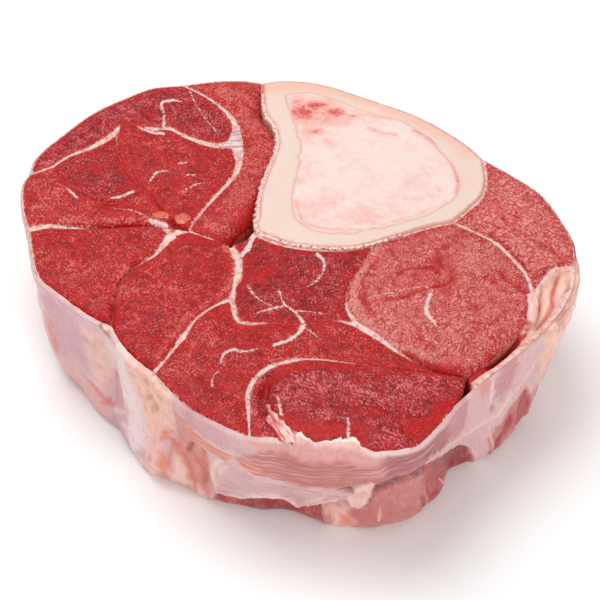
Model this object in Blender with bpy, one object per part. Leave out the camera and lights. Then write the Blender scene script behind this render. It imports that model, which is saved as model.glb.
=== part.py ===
"""A raw beef shank: one thick slice sawn across the leg, with its marrow bone.

The cut face is a map of muscles held in a web of white connective tissue, beside the sawn end of the
bone. The web also makes the skin of fat and silverskin round the outside. Every muscle, the bone and
its marrow run right through the slice, and all of them lean in towards its narrower foot.
Plan coordinates are millimetres on the upper cut face, X to the right and Y away from the viewer.
"""

import math

import bmesh
import bpy
import numpy as np

MM = 0.001

# Driving sizes, in millimetres and degrees
THICKNESS = 42.0
FOOT_SCALE = 0.9
FOOT_TWIST = 2.0
GAP = 0.3
THINNEST_WALL = 0.9
SKIN = 0.8
LEAST_SKIN = -0.3
WEB_BELOW_FACE = 1.1
WEB_ABOVE_FOOT = 0.5
CUTTER_OVERSHOOT = 4.0

# How finely outlines are worked out, and how few of their points the solids keep
SAMPLE = 0.8
POINT_SPACING = 5.4
POINTS_PER_TURN = 2.0
FEWEST_POINTS = 20
SKIN_POINTS = 100
CORNER_PASSES = 4
CROSSED_OVER = 0.97

# Where three walls of the web meet, lettered by hand round the face
JUNCTIONS = {
    "A": (-81.5, 32.0),
    "X": (-74.5, 35.5),
    "L": (-55.5, 53.0),
    "M": (-19.5, 46.0),
    "B": (-37.0, 71.9),
    "C": (-12.0, 72.8),
    "D": (55.5, 38.5),
    "E": (79.5, -5.0),
    "F": (66.5, -17.0),
    "G": (46.0, -47.0),
    "g": (42.5, -57.5),
    "Z": (20.0, -74.0),
    "H": (-13.5, -68.5),
    "I": (-40.5, -46.0),
    "J": (-53.5, -28.0),
    "K": (-79.5, 9.0),
    "O": (-46.0, 25.0),
    "P": (-38.5, 13.0),
    "Q": (-37.5, 7.5),
    "N": (-32.5, 8.5),
    "R": (-20.5, 3.0),
    "S": (-13.5, 13.0),
    "T": (-12.5, 7.0),
    "U": (-19.5, -18.5),
    "V": (22.0, 3.2),
    "W": (45.0, 11.8),
    "Y": (16.5, -28.5),
}

# Each wall runs from one junction to another: its thickness, and the points that bend it on the way
WALLS = {
    "AX": (0.9, []),
    "XL": (1.5, [(-70, 40), (-63, 44), (-57, 50)]),
    "LM": (1.6, [(-52, 55.5), (-46, 52), (-40, 52), (-35, 48.5), (-29, 45.5), (-24, 44.5)]),
    "MB": (1.2, [(-20, 54), (-24, 61), (-30, 67)]),
    "MN": (1.8, [(-18.5, 38), (-20, 31), (-25, 23), (-31, 13)]),
    "LO": (0.6, [(-56, 45), (-54, 37), (-50, 30)]),
    "XO": (0.6, [(-71.5, 29), (-67, 24.5), (-60, 21), (-54, 20.5)]),
    "OP": (0.6, []),
    "PN": (0.6, []),
    "PQ": (0.6, []),
    "KQ": (1.0, [(-74, 10.5), (-66, 10.5), (-48, 11.5), (-42, 11)]),
    "QN": (0.8, []),
    "NR": (0.8, [(-27, 6)]),
    "RS": (2.4, [(-17.5, 8)]),
    "SC": (0.6, [(-12, 24), (-9.5, 34), (-7, 44), (-8, 52), (-11.5, 60)]),
    "RT": (0.6, []),
    "ST": (0.6, []),
    "TV": (1.4, [(-7, 4), (0, 1.8), (10, 0.8), (17, 1.5)]),
    "VW": (1.0, [(30, 6.5), (38, 9.8)]),
    "WD": (1.0, [(50, 17), (54.5, 23), (56, 30)]),
    "RU": (2.4, [(-18, -3), (-17.8, -9), (-18.8, -14)]),
    "UI": (1.2, [(-23.5, -20.5), (-29, -25.5), (-33, -33), (-36.5, -39.5)]),
    "QJ": (0.9, [(-42, -0.5), (-48, -5.5), (-52, -11), (-53, -19)]),
    "HG": (0.9, [(-14, -60), (-14, -52), (-10.5, -45.5), (-4, -42), (5, -41), (27, -44.5)]),
    "GY": (1.2, [(36, -44), (28, -38.5), (22, -33)]),
    "YV": (1.2, [(13.5, -22), (13.5, -15), (16, -8)]),
    "FW": (0.9, [(65, -9), (61, -2), (56, 4.5)]),
    "UY": (0.8, [(-17, -27), (-8, -27.5), (0, -28), (6, -26), (12, -27)]),
    "AB": (SKIN, [(-79.3, 40.3), (-72.3, 49.8), (-64.2, 59), (-54.4, 66), (-46.2, 70.6)]),
    "BC": (SKIN, [(-26, 73.8), (-18, 74)]),
    "CD": (SKIN, [(-4, 74), (7.5, 72), (22.3, 65), (36.6, 57.4), (48.5, 47.3)]),
    "DE": (SKIN, [(64, 31.5), (71.5, 24), (76.5, 14), (79.5, 4)]),
    "EF": (SKIN, [(73, -6.5), (69, -12)]),
    "FG": (SKIN, [(65.5, -23), (62.5, -30), (58, -36), (52, -41.5)]),
    "Eg": (SKIN, [(78, -14), (73, -24), (65, -34), (57, -42), (49, -50)]),
    "Gg": (SKIN, [(45, -52)]),
    "gZ": (SKIN, [(36, -67), (30, -72.5)]),
    "ZH": (SKIN, [(12, -72), (3, -71), (-6, -69)]),
    "HI": (SKIN, [(-22, -64), (-30, -58.5), (-36, -52)]),
    "IJ": (SKIN, [(-46, -41), (-51, -34.5)]),
    "JK": (SKIN, [(-62, -23), (-70, -15.5), (-75.5, -9.5), (-78, 0)]),
    "KA": (SKIN, [(-82, 17), (-83, 27)]),
}
RIM = "ABCDEgZHIJK"

# Each muscle: the junctions round it, how far it swells above the cut, and its colour
MUSCLES = {
    "muscle_outer_band": ("ABMLX", 0.3, (0.47, 0.055, 0.058)),
    "muscle_crescent": ("BCSRNM", 1.0, (0.52, 0.072, 0.063)),
    "muscle_inner_left": ("XLO", 0.2, (0.44, 0.025, 0.026)),
    "muscle_inner_middle": ("LMNPO", 0.5, (0.46, 0.033, 0.036)),
    "muscle_left_band": ("AXOPQK", 0.2, (0.49, 0.056, 0.056)),
    "muscle_left_front": ("KQJ", 0.6, (0.50, 0.050, 0.050)),
    "muscle_middle": ("QNRUIJ", 0.8, (0.47, 0.038, 0.040)),
    "muscle_under_bone": ("RTVYU", -0.2, (0.37, 0.025, 0.030)),
    "muscle_front_centre": ("UYGHI", 0.2, (0.49, 0.054, 0.058)),
    "muscle_front": ("HGgZ", 0.6, (0.46, 0.076, 0.083)),
    "muscle_round": ("VWFGY", 1.8, (0.64, 0.135, 0.130)),
    "muscle_right": ("WDEF", 0.2, (0.66, 0.160, 0.140)),
}
BONE_CELL = "SCDWVT"
BONE_COLOUR = (0.92, 0.74, 0.63)
MARROW_COLOUR = (0.93, 0.76, 0.72)
WEB_COLOUR = (0.68, 0.45, 0.42)
BONE_LIFT = 0.4
MARROW_SINK = 0.1
MARROW_OUTLINE = [
    (-4, 67), (5, 67), (22, 58.5), (32, 54), (41, 44.5), (47, 32), (45.5, 22), (34, 13.5),
    (18, 8.5), (6, 8), (-1, 13.5), (-2, 22), (0, 34), (0.5, 46), (-2, 57),
]

# How the edge of a muscle rounds over at the cut and at the foot: (inset, below the face) pairs
FACE_EDGE = [(0.0, 2.0), (0.9, 0.6), (3.2, 0.0)]
FOOT_EDGE = [(1.1, 0.0), (0.0, 1.3)]
SHARE_OF_ROOM = 0.55

# Stretches of the web that are open clefts: their path, width and depth
CLEFTS = [
    ([(-23, 3.5), (-18, 7), (-14, 17)], 4.0, 12.0),
    ([(-12.5, 66), (-9.5, 57), (-7.5, 49)], 1.8, 6.0),
    ([(44.5, -45), (46, -52), (43, -57)], 1.8, 9.0),
]
CLEFT_TIP = 0.12
CLEFT_FLOOR_SHARE = 0.4
CLEFT_MOUTH_SHARE = 1.3

# Lumps and hollows of the skin: direction from the middle and height of each, how far it spreads
# round and up, and how far it stands out
SKIN_FORMS = [
    ("belly all round", 0, 18, 500, 16, 1.5),
    ("swell of the left end", 182, 8, 13, 14, 2.4),
    ("hollow of the left silverskin", 205, 20, 8, 16, -0.7),
    ("fat at the left front", 227, 3, 14, 16, 5.8),
    ("crest between silverskin and fat", 218, 18, 3.5, 15, 1.6),
    ("lump of fat below the crest", 233, 9, 5, 6, 1.5),
    ("belt of silverskin round the front", 275, 32, 34, 7, 0.9),
    ("undercut below the belt", 268, 12, 25, 5, -1.2),
    ("meat bulging under the belt", 284, 2, 17, 9, 3.7),
    ("step beside that meat", 310, 5, 4, 9, -1.6),
    ("swell of the right front", 328, 4, 10, 12, 2.2),
    ("fat of the right end", 352, 29, 9, 9, 1.2),
    ("lower fat of the right end", 342, 12, 6, 7, 1.2),
    ("foot of the left silverskin", 204, 1, 11, 18, 5.0),
    ("foot of the left front", 229, 1, 13, 11, 4.2),
    ("lump at the front foot", 249, 1, 7, 8, 1.7),
    ("corner of that meat", 303, 1, 4, 8, 2.8),
    ("foot of the right front", 321, 2, 8, 11, 3.9),
    ("foot of the right end", 334, 3, 9, 12, 4.2),
]
RIPPLES = [(9, 0.30, 0.4), (14, 0.25, 2.1), (23, 0.20, 4.0)]
RIPPLE_REACH = 12.0
SKIN_LEVELS = [0.0, 1.4, 5.0, 10.0, 15.0, 21.0, 27.0, 33.0, 38.0, 41.0]
SKIN_FOOT_INSET = 1.4
SKIN_FACE_INSET = 0.3


def smooth_line(points):
    """A Catmull-Rom curve through the points, sampled about every SAMPLE millimetres."""
    points = np.array(points, float)
    ends = np.vstack([2 * points[0] - points[1], points, 2 * points[-1] - points[-2]])
    pieces = []
    for before, start, stop, after in zip(ends, ends[1:], ends[2:], ends[3:]):
        steps = max(2, round(np.linalg.norm(stop - start) / SAMPLE))
        t = np.linspace(0, 1, steps, endpoint=False)[:, None]
        pieces.append(
            start
            + 0.5 * t * (stop - before)
            + t**2 * (before - 2.5 * start + 2 * stop - 0.5 * after)
            + 0.5 * t**3 * (3 * start - before - 3 * stop + after)
        )
    return np.vstack(pieces + [points[-1:]])


def wall_line(start, stop):
    """The wall between two junctions as a line in that direction, and its thickness."""
    key = start + stop
    reverse = key not in WALLS
    thickness, bends = WALLS[key[::-1] if reverse else key]
    bends = bends[::-1] if reverse else bends
    return smooth_line([JUNCTIONS[start], *bends, JUNCTIONS[stop]]), thickness


def cell_outline(letters):
    """The closed line through the junctions of one cell, anticlockwise, and the wall thickness along it."""
    lines = []
    widths = []
    for start, stop in zip(letters, letters[1:] + letters[0]):
        line, thickness = wall_line(start, stop)
        lines.append(line[:-1])
        widths.append(np.full(len(line) - 1, thickness))
    outline = np.vstack(lines) - face_centre()
    widths = np.concatenate(widths)
    if signed_area(outline) < 0:
        return outline[::-1], widths[::-1]
    return outline, widths


def face_centre():
    """The middle of the box round the rim, which becomes the origin."""
    rim = np.vstack([wall_line(a, b)[0] for a, b in zip(RIM, RIM[1:] + RIM[0])])
    return (rim.min(0) + rim.max(0)) / 2


def signed_area(outline):
    x, y = outline.T
    return 0.5 * np.sum(x * np.roll(y, -1) - y * np.roll(x, -1))


def inward_normals(outline):
    """The unit normals of an anticlockwise outline, pointing in."""
    along = np.roll(outline, -1, axis=0) - np.roll(outline, 1, axis=0)
    along /= np.linalg.norm(along, axis=1)[:, None]
    return np.stack([-along[:, 1], along[:, 0]], axis=1)


def lies_inside(points, outline):
    """Whether each point is inside, where a line to its right crosses the outline an odd number of times."""
    start = outline[None]
    stop = np.roll(outline, -1, axis=0)[None]
    x, y = points[:, :1], points[:, 1:]
    straddles = (start[..., 1] > y) != (stop[..., 1] > y)
    rise = np.where(straddles, stop[..., 1] - start[..., 1], 1)
    crossing = start[..., 0] + (y - start[..., 1]) * (stop[..., 0] - start[..., 0]) / rise
    return (straddles & (crossing > x)).sum(axis=1) % 2 == 1


def inset(outline, depth):
    """The outline moved inwards, each point by its own depth. A moved point that lands outside, or nearer
    to another stretch of the outline than that stretch's depth, has crossed over and is dropped."""
    moved = outline + inward_normals(outline) * depth[:, None]
    distance = np.linalg.norm(moved[:, None] - outline[None], axis=2)
    clear = (distance > depth[None] * CROSSED_OVER).all(axis=1)
    return moved[clear & lies_inside(moved, outline)]


def rounded(outline):
    """The outline with its corners eased by averaging each point with its neighbours."""
    for _ in range(CORNER_PASSES):
        outline = (
            np.roll(outline, 1, axis=0) + 2 * outline + np.roll(outline, -1, axis=0)
        ) / 4
    return outline


def evenly_spaced(outline, spacing):
    """The outline with its points at equal steps along it."""
    closed = np.vstack([outline, outline[:1]])
    steps = np.linalg.norm(np.diff(closed, axis=0), axis=1)
    measure = np.concatenate([[0], np.cumsum(steps)])
    wanted = np.linspace(0, measure[-1], round(measure[-1] / spacing), endpoint=False)
    return np.stack([np.interp(wanted, measure, closed[:, k]) for k in (0, 1)], axis=1)


def resampled(outline, count=None):
    """The outline with fewer points, closer together where it bends more."""
    ahead = np.roll(outline, -1, axis=0) - outline
    length = np.linalg.norm(ahead, axis=1)
    heading = np.arctan2(ahead[:, 1], ahead[:, 0])
    turn = np.abs((np.roll(heading, -1) - heading + math.pi) % (2 * math.pi) - math.pi)
    weight = length / POINT_SPACING + turn * POINTS_PER_TURN
    measure = np.concatenate([[0], np.cumsum(weight)])
    count = count or max(FEWEST_POINTS, round(measure[-1]))
    wanted = np.linspace(0, measure[-1], count, endpoint=False)
    closed = np.vstack([outline, outline[:1]])
    return np.stack([np.interp(wanted, measure, closed[:, k]) for k in (0, 1)], axis=1)


def muscle_outline(letters):
    """The plan outline of what fills one cell: the cell less half of each wall and the gap."""
    outline, widths = cell_outline(letters)
    depth = np.maximum(widths, THINNEST_WALL) / 2 + GAP
    return resampled(rounded(evenly_spaced(inset(outline, depth), SAMPLE)))


def room_inside(outline):
    """For each point, the radius of the largest circle inside the outline that touches it there."""
    toward = outline[None] - outline[:, None]
    square = (toward**2).sum(axis=2)
    lean = np.einsum("ijk,ik->ij", toward, inward_normals(outline))
    facing = lean > 0
    room = np.where(facing, square / (2 * np.where(facing, lean, 1)), np.inf).min(axis=1)
    return np.minimum(room, np.minimum(np.roll(room, 1), np.roll(room, -1)))


def at_height(plan, height):
    """Plan points of the cut face carried down to a height, each along its own straight fibre."""
    angle = math.radians(FOOT_TWIST)
    turned = plan @ np.array(
        [[math.cos(angle), math.sin(angle)], [-math.sin(angle), math.cos(angle)]]
    )
    down = 1 - height / THICKNESS
    place = plan + down * (FOOT_SCALE * turned - plan)
    return np.column_stack([place, np.full(len(plan), height)])


def loft(name, rings, collection):
    """A closed solid through rings of points in millimetres, lowest first, capped at both ends."""
    shape = bmesh.new()
    rows = [[shape.verts.new(point * MM) for point in ring] for ring in rings]
    for low, high in zip(rows, rows[1:]):
        for i, corner in enumerate(low):
            j = (i + 1) % len(low)
            shape.faces.new((corner, low[j], high[j], high[i]))
    shape.faces.new(list(reversed(rows[0])))
    shape.faces.new(rows[-1])
    mesh = bpy.data.meshes.new(name)
    shape.to_mesh(mesh)
    shape.free()
    solid = bpy.data.objects.new(name, mesh)
    collection.objects.link(solid)
    return solid


def filling(name, outline, lift, collection):
    """A muscle, the bone or the marrow: its outline lofted from foot to face, with rounded edges."""
    normals = inward_normals(outline)
    room = SHARE_OF_ROOM * room_inside(outline)

    def ring(distance, height):
        shrunk = outline + normals * np.minimum(distance, room)[:, None]
        return at_height(shrunk, height)

    foot = [ring(distance, height) for distance, height in FOOT_EDGE]
    top = THICKNESS + lift
    face = [ring(distance, top - below) for distance, below in FACE_EDGE]
    return loft(name, foot + face, collection)


def cutter(name, outline, collection):
    """What a filling takes out of its neighbour: its outline with the gap round it, right through."""
    wider = outline - inward_normals(outline) * GAP
    ends = (-CUTTER_OVERSHOOT, THICKNESS + CUTTER_OVERSHOOT)
    return hidden(loft(name, [at_height(wider, height) for height in ends], collection))


def cleft_cutter(name, path, width, depth, collection):
    """An open cleft: a strip along the path, pointed at both ends and narrower at its floor."""
    line = smooth_line(path) - face_centre()
    along = np.gradient(line, axis=0)
    along /= np.linalg.norm(along, axis=1)[:, None]
    side = np.stack([along[:, 1], -along[:, 0]], axis=1)
    swell = np.sin(np.linspace(CLEFT_TIP, math.pi - CLEFT_TIP, len(line)))
    half = 0.5 * width * swell[:, None]

    def ring(share, height):
        edge = np.vstack([line + side * half * share, (line - side * half * share)[::-1]])
        return at_height(edge, height)

    floor = ring(CLEFT_FLOOR_SHARE, THICKNESS - depth)
    mouth = ring(CLEFT_MOUTH_SHARE, THICKNESS + CUTTER_OVERSHOOT)
    return hidden(loft(name, [floor, mouth], collection))


def hidden(helper):
    """Marks a cutter as a helper that is not part of the model."""
    helper.hide_render = True
    helper.display_type = "WIRE"
    return helper


def standing_out(points, height):
    """How far the skin's lumps and hollows stand out at these plan points and this height."""
    direction = np.degrees(np.arctan2(points[:, 1], points[:, 0]))
    out = np.full(len(points), SKIN)
    for _, middle, level, spread, rise, amount in SKIN_FORMS:
        round_by = (direction - middle + 180) % 360 - 180
        up_by = height - level
        out += amount * np.exp(-((round_by / spread) ** 2) - (up_by / rise) ** 2)
    for waves, amount, start in RIPPLES:
        fading = math.exp(-height / RIPPLE_REACH)
        out += amount * fading * np.sin(waves * np.radians(direction) + start)
    return np.maximum(out, LEAST_SKIN)


def skin_rings():
    """The outside of the slice, level by level, from foot to face."""
    outline, _ = cell_outline(RIM)
    outline = resampled(rounded(outline), SKIN_POINTS)
    outward = -inward_normals(outline)
    inset_at = {SKIN_LEVELS[0]: SKIN_FOOT_INSET, SKIN_LEVELS[-1]: SKIN_FACE_INSET}
    rings = []
    for level in SKIN_LEVELS:
        out = standing_out(outline, level) - inset_at.get(level, 0)
        height = max(level, WEB_ABOVE_FOOT)
        height = min(height, THICKNESS - WEB_BELOW_FACE)
        rings.append(at_height(outline + outward * out[:, None], height))
    return rings


def take_away(solid, cutters):
    """Cuts everything in the collection of cutters from the solid."""
    cut = solid.modifiers.new("cells", "BOOLEAN")
    cut.operation = "DIFFERENCE"
    cut.operand_type = "COLLECTION"
    cut.collection = cutters
    cut.solver = "EXACT"


def finish(solid, colour, roughness):
    """Gives a solid its own material."""
    material = bpy.data.materials.new(solid.name)
    material.use_nodes = True
    shader = material.node_tree.nodes["Principled BSDF"]
    shader.inputs["Base Color"].default_value = (*colour, 1)
    shader.inputs["Roughness"].default_value = roughness
    material.diffuse_color = (*colour, 1)
    solid.data.materials.append(material)


def new_collection(name):
    collection = bpy.data.collections.new(name)
    bpy.context.scene.collection.children.link(collection)
    return collection


def build():
    for old in list(bpy.data.objects):
        bpy.data.objects.remove(old)
    shank = new_collection("beef shank")
    web_cutters = new_collection("cutters for the web")
    bone_cutters = new_collection("cutters for the bone")

    for name, (letters, lift, colour) in MUSCLES.items():
        outline = muscle_outline(letters)
        finish(filling(name, outline, lift, shank), colour, 0.35)
        cutter(name + "_cell", outline, web_cutters)

    bone_outline = muscle_outline(BONE_CELL)
    bone = filling("shin_bone", bone_outline, BONE_LIFT, shank)
    finish(bone, BONE_COLOUR, 0.45)
    cutter("shin_bone_cell", bone_outline, web_cutters)

    ring = smooth_line(MARROW_OUTLINE + MARROW_OUTLINE[:1])[:-1] - face_centre()
    ring = ring[::-1] if signed_area(ring) < 0 else ring
    marrow_outline = resampled(rounded(ring))
    finish(filling("marrow", marrow_outline, -MARROW_SINK, shank), MARROW_COLOUR, 0.5)
    cutter("marrow_hole", marrow_outline, bone_cutters)
    take_away(bone, bone_cutters)

    web = loft("silverskin_web", skin_rings(), shank)
    finish(web, WEB_COLOUR, 0.4)
    for number, (path, width, depth) in enumerate(CLEFTS, start=1):
        cleft_cutter(f"cleft_{number}", path, width, depth, web_cutters)
    take_away(web, web_cutters)


build()
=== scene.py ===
"""The looks of a raw beef shank: a thick slice sawn across the leg, lying on its lower cut face.

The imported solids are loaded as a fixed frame, and each is replaced by the real thing in the same place:
red muscles, sawn bone with its marrow, the web of white sinew between them and the skin round them.
Shapes are worked out in millimetres, in the frame's axes, and become metres as each mesh is made.
"""

import math

import bpy
import numpy as np
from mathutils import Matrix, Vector
from mathutils.geometry import delaunay_2d_cdt
from mathutils.kdtree import KDTree


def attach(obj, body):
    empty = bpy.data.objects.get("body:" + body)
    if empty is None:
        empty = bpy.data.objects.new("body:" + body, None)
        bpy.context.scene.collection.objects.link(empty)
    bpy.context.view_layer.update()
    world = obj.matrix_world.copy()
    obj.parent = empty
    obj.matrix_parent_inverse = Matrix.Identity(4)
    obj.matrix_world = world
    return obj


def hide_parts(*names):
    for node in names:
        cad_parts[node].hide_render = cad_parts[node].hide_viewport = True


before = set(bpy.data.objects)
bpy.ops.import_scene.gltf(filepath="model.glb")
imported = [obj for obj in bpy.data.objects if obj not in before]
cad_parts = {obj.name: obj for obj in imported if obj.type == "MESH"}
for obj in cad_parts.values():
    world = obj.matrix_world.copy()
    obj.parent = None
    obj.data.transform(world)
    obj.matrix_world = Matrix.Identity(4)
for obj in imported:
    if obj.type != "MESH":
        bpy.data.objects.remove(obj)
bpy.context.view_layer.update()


# The web between the muscles
# White sinew that wraps every muscle and runs right through the slice. On the cut face its walls show
# as pale lines of uneven width, flush in some places and sunk between two muscles in others.

# Metres in a millimetre, the slice's thickness, how much smaller its foot is than its face and how far it is
# turned in degrees, the step between points of a curve, and the thinnest wall
MM = 0.001
THICKNESS = 42.0
FOOT_SCALE = 0.9
FOOT_TWIST = 2.0
STEP = 0.45
LEAST_WALL = 0.6

# Where three walls meet, in plan, X to the right and Y away from the viewer
JUNCTIONS = {
    "A": (-81.5, 32.0),
    "X": (-74.5, 35.5),
    "L": (-55.5, 53.0),
    "M": (-19.5, 46.0),
    "B": (-37.0, 71.9),
    "C": (-12.0, 72.8),
    "D": (55.5, 38.5),
    "E": (79.5, -5.0),
    "F": (66.5, -17.0),
    "G": (46.0, -47.0),
    "g": (42.5, -57.5),
    "Z": (20.0, -74.0),
    "H": (-13.5, -68.5),
    "I": (-40.5, -46.0),
    "J": (-53.5, -28.0),
    "K": (-79.5, 9.0),
    "O": (-46.0, 25.0),
    "P": (-38.5, 13.0),
    "Q": (-37.5, 7.5),
    "N": (-32.5, 8.5),
    "R": (-20.5, 3.0),
    "S": (-13.5, 13.0),
    "T": (-12.5, 7.0),
    "U": (-19.5, -18.5),
    "V": (22.0, 3.2),
    "W": (45.0, 11.8),
    "Y": (16.5, -28.5),
}

# Each wall between two junctions: its widths along the way, how deep its top lies below the cut face
# along the way, how white it shows along the way, and the points that bend it
WALLS = {
    "AX": ([0.9], [0.3], [0.6], []),
    "XL": ([0.6, 0.9, 1.3, 2.2, 1.6], [0.1], [0.8, 1, 1], [(-70, 40), (-63, 44), (-57, 50)]),
    "LM": (
        [0.4, 0.6, 1.5, 1.2, 1.1, 1.6, 2.2, 4.0],
        [0.3, 0.2, 0.1, 0.1],
        [0.1, 0.1, 1, 1, 0.9, 1, 1],
        [(-52, 55.5), (-46, 52), (-40, 52), (-35, 48.5), (-29, 45.5), (-24, 44.5)],
    ),
    "MB": (
        [4.2, 1.7, 1.0, 0.7, 0.4],
        [0.1],
        [1, 1, 1, 0.8, 0.6],
        [(-20, 54), (-24, 61), (-30, 67)],
    ),
    "MN": (
        [4.2, 2.3, 1.3, 1.1, 0.8, 0.4],
        [0.1, 0.1, 0.2, 0.6],
        [1, 1, 1, 1, 1, 0.5],
        [(-18.5, 38), (-20, 31), (-25, 23), (-31, 13)],
    ),
    "LO": ([0.3], [0.2, 0.4], [0.5, 0.3, 0.1, 0.1], [(-56, 45), (-54, 37), (-50, 30)]),
    "XO": ([0.3], [0.3, 0.6, 0.6], [0.2, 0, 0], [(-71.5, 29), (-67, 24.5), (-60, 21), (-54, 20.5)]),
    "OP": ([0.4], [0.6, 1.2], [0.2, 0], []),
    "PN": ([0.7], [2.0], [0], []),
    "PQ": ([0.8], [1.2, 0.4], [0, 0.6], []),
    "KQ": (
        [2.0, 1.8, 1.5, 0.9, 0.8, 0.7, 2.2],
        [0.2, 0.3, 1.2, 2.4, 2.2, 1.6, 0.3],
        [0.9, 0.8, 0.6, 0.3, 0, 0, 0.9],
        [(-74, 10.5), (-66, 10.5), (-48, 11.5), (-42, 11)],
    ),
    "QN": ([2.6, 0.9], [0.3], [1, 0.8], []),
    "NR": ([0.9, 0.7, 0.5], [0.4, 0.6], [0.8, 0.6, 0.3], [(-27, 6)]),
    "RS": ([2.4, 3.6, 3.0], [5.0], [0.2], [(-17.5, 8)]),
    "SC": (
        [2.6, 1.0, 0.6, 0.6, 1.2, 1.4, 0.6],
        [5.0, 1.6, 0.5, 0.6, 3.0, 4.0, 0.5],
        [0.2, 0.5, 0.8, 0.8, 0.4, 0.3, 0.7],
        [(-12, 24), (-9.5, 34), (-7, 44), (-8, 52), (-11.5, 60)],
    ),
    "RT": ([0.8], [1.0, 0.4], [0.4, 0.9], []),
    "ST": ([1.2, 0.6], [3.0, 0.4], [0.3, 0.8], []),
    "TV": ([2.2, 1.8, 1.3, 0.9], [0.2, 0.4], [0.9, 0.8], [(-7, 4), (0, 1.8), (10, 0.8), (17, 1.5)]),
    "VW": ([0.9], [0.3], [0.7], [(30, 6.5), (38, 9.8)]),
    "WD": ([0.9], [0.2], [0.7], [(50, 17), (54.5, 23), (56, 30)]),
    "RU": (
        [1.6, 2.6, 2.0, 2.6, 1.1, 1.8],
        [0.2],
        [0.9, 1, 1, 1, 0.8, 1],
        [(-18, -3), (-17.8, -9), (-18.8, -14)],
    ),
    "UI": (
        [1.7, 0.8, 0.8, 0.9, 1.9, 1.0, 0.8, 1.3],
        [0.2, 0.3, 0.2],
        [1, 0.8, 0.7, 0.9, 1, 0.6, 0.8, 1],
        [(-23.5, -20.5), (-29, -25.5), (-33, -33), (-36.5, -39.5)],
    ),
    "QJ": (
        [3.0, 1.7, 0.9, 0.9, 0.8, 0.7, 0.8],
        [0.2, 0.5, 1.2, 2.0, 2.2, 1.2],
        [1, 0.9, 0.5, 0.2, 0, 0, 0.3],
        [(-42, -0.5), (-48, -5.5), (-52, -11), (-53, -19)],
    ),
    "HG": (
        [0.6, 1.2, 1.3, 1.2, 0.6, 0.3, 0.3, 0.3, 0.5],
        [0.2, 0.1, 0.1, 0.3, 0.6, 0.8],
        [0.7, 0.8, 0.7, 0.9, 0.7, 0.4, 0, 0.2, 0],
        [(-14, -60), (-14, -52), (-10.5, -45.5), (-4, -42), (5, -41), (27, -44.5)],
    ),
    "GY": (
        [0.5, 0.5, 1.6, 2.2],
        [2.6, 1.6, 0.5, 0.2],
        [0, 0.2, 0.8, 1],
        [(36, -44), (28, -38.5), (22, -33)],
    ),
    "YV": (
        [2.0, 0.6, 0.5, 0.5],
        [0.3, 0.9, 1.0, 0.6],
        [1, 0.6, 0.3, 0.5],
        [(13.5, -22), (13.5, -15), (16, -8)],
    ),
    "FW": ([1.0, 1.1, 0.9, 0.8], [0.1], [0.8, 0.9, 0.7, 0.5], [(65, -9), (61, -2), (56, 4.5)]),
    "UY": (
        [1.7, 1.3, 1.1, 0.5, 0.3, 0.3, 0.8, 1.8],
        [0.2],
        [1, 1, 0.8, 0.3, 0.2, 0, 0.4, 1],
        [(-17, -27), (-8, -27.5), (0, -28), (6, -26), (12, -27)],
    ),
    "AB": ([0.8], [0.4], [0.7], [(-79.3, 40.3), (-72.3, 49.8), (-64.2, 59), (-54.4, 66), (-46.2, 70.6)]),
    "BC": ([0.8], [0.4], [0.7], [(-26, 73.8), (-18, 74)]),
    "CD": ([0.8], [0.4], [0.7], [(-4, 74), (7.5, 72), (22.3, 65), (36.6, 57.4), (48.5, 47.3)]),
    "DE": ([0.8], [0.5], [0.5], [(64, 31.5), (71.5, 24), (76.5, 14), (79.5, 4)]),
    "EF": ([0.8], [0.8], [0.9], [(73, -6.5), (69, -12)]),
    "FG": ([0.8], [0.4, 1.2, 3.0, 2.0], [0.7, 0.4, 0], [(65.5, -23), (62.5, -30), (58, -36), (52, -41.5)]),
    "Eg": ([0.8], [0.6], [0.8], [(78, -14), (73, -24), (65, -34), (57, -42), (49, -50)]),
    "Gg": ([0.8], [1.6], [0], [(45, -52)]),
    "gZ": ([0.8], [0.6], [0.8], [(36, -67), (30, -72.5)]),
    "ZH": ([0.8], [0.6], [0.8], [(12, -72), (3, -71), (-6, -69)]),
    "HI": ([0.8], [0.7], [0.7], [(-22, -64), (-30, -58.5), (-36, -52)]),
    "IJ": ([1.5], [2.0], [0.0], [(-46, -41), (-51, -34.5)]),
    "JK": (
        [1.6, 1.3, 0.8],
        [2.2, 1.8, 0.8, 0.5],
        [0.0, 0.2, 0.6, 0.6],
        [(-62, -23), (-70, -15.5), (-75.5, -9.5), (-78, 0)],
    ),
    "KA": ([0.8], [0.4], [0.7], [(-82, 17), (-83, 27)]),
}
RIM = "ABCDEgZHIJK"
FAT_POCKET = "EFGg"
MUSCLE_CELLS = {
    "muscle_outer_band": "ABMLX",
    "muscle_crescent": "BCSRNM",
    "muscle_inner_left": "XLO",
    "muscle_inner_middle": "LMNPO",
    "muscle_left_band": "AXOPQK",
    "muscle_left_front": "KQJ",
    "muscle_middle": "QNRUIJ",
    "muscle_under_bone": "RTVYU",
    "muscle_front_centre": "UYGHI",
    "muscle_front": "HGgZ",
    "muscle_round": "VWFGY",
    "muscle_right": "WDEF",
}
BONE_CELL = "SCDWVT"


def read_along(values, place):
    """Values that stand evenly along a line, read at places from 0 to 1, with straight runs between them."""
    return np.interp(place, np.linspace(0, 1, len(values)), values)


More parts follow.
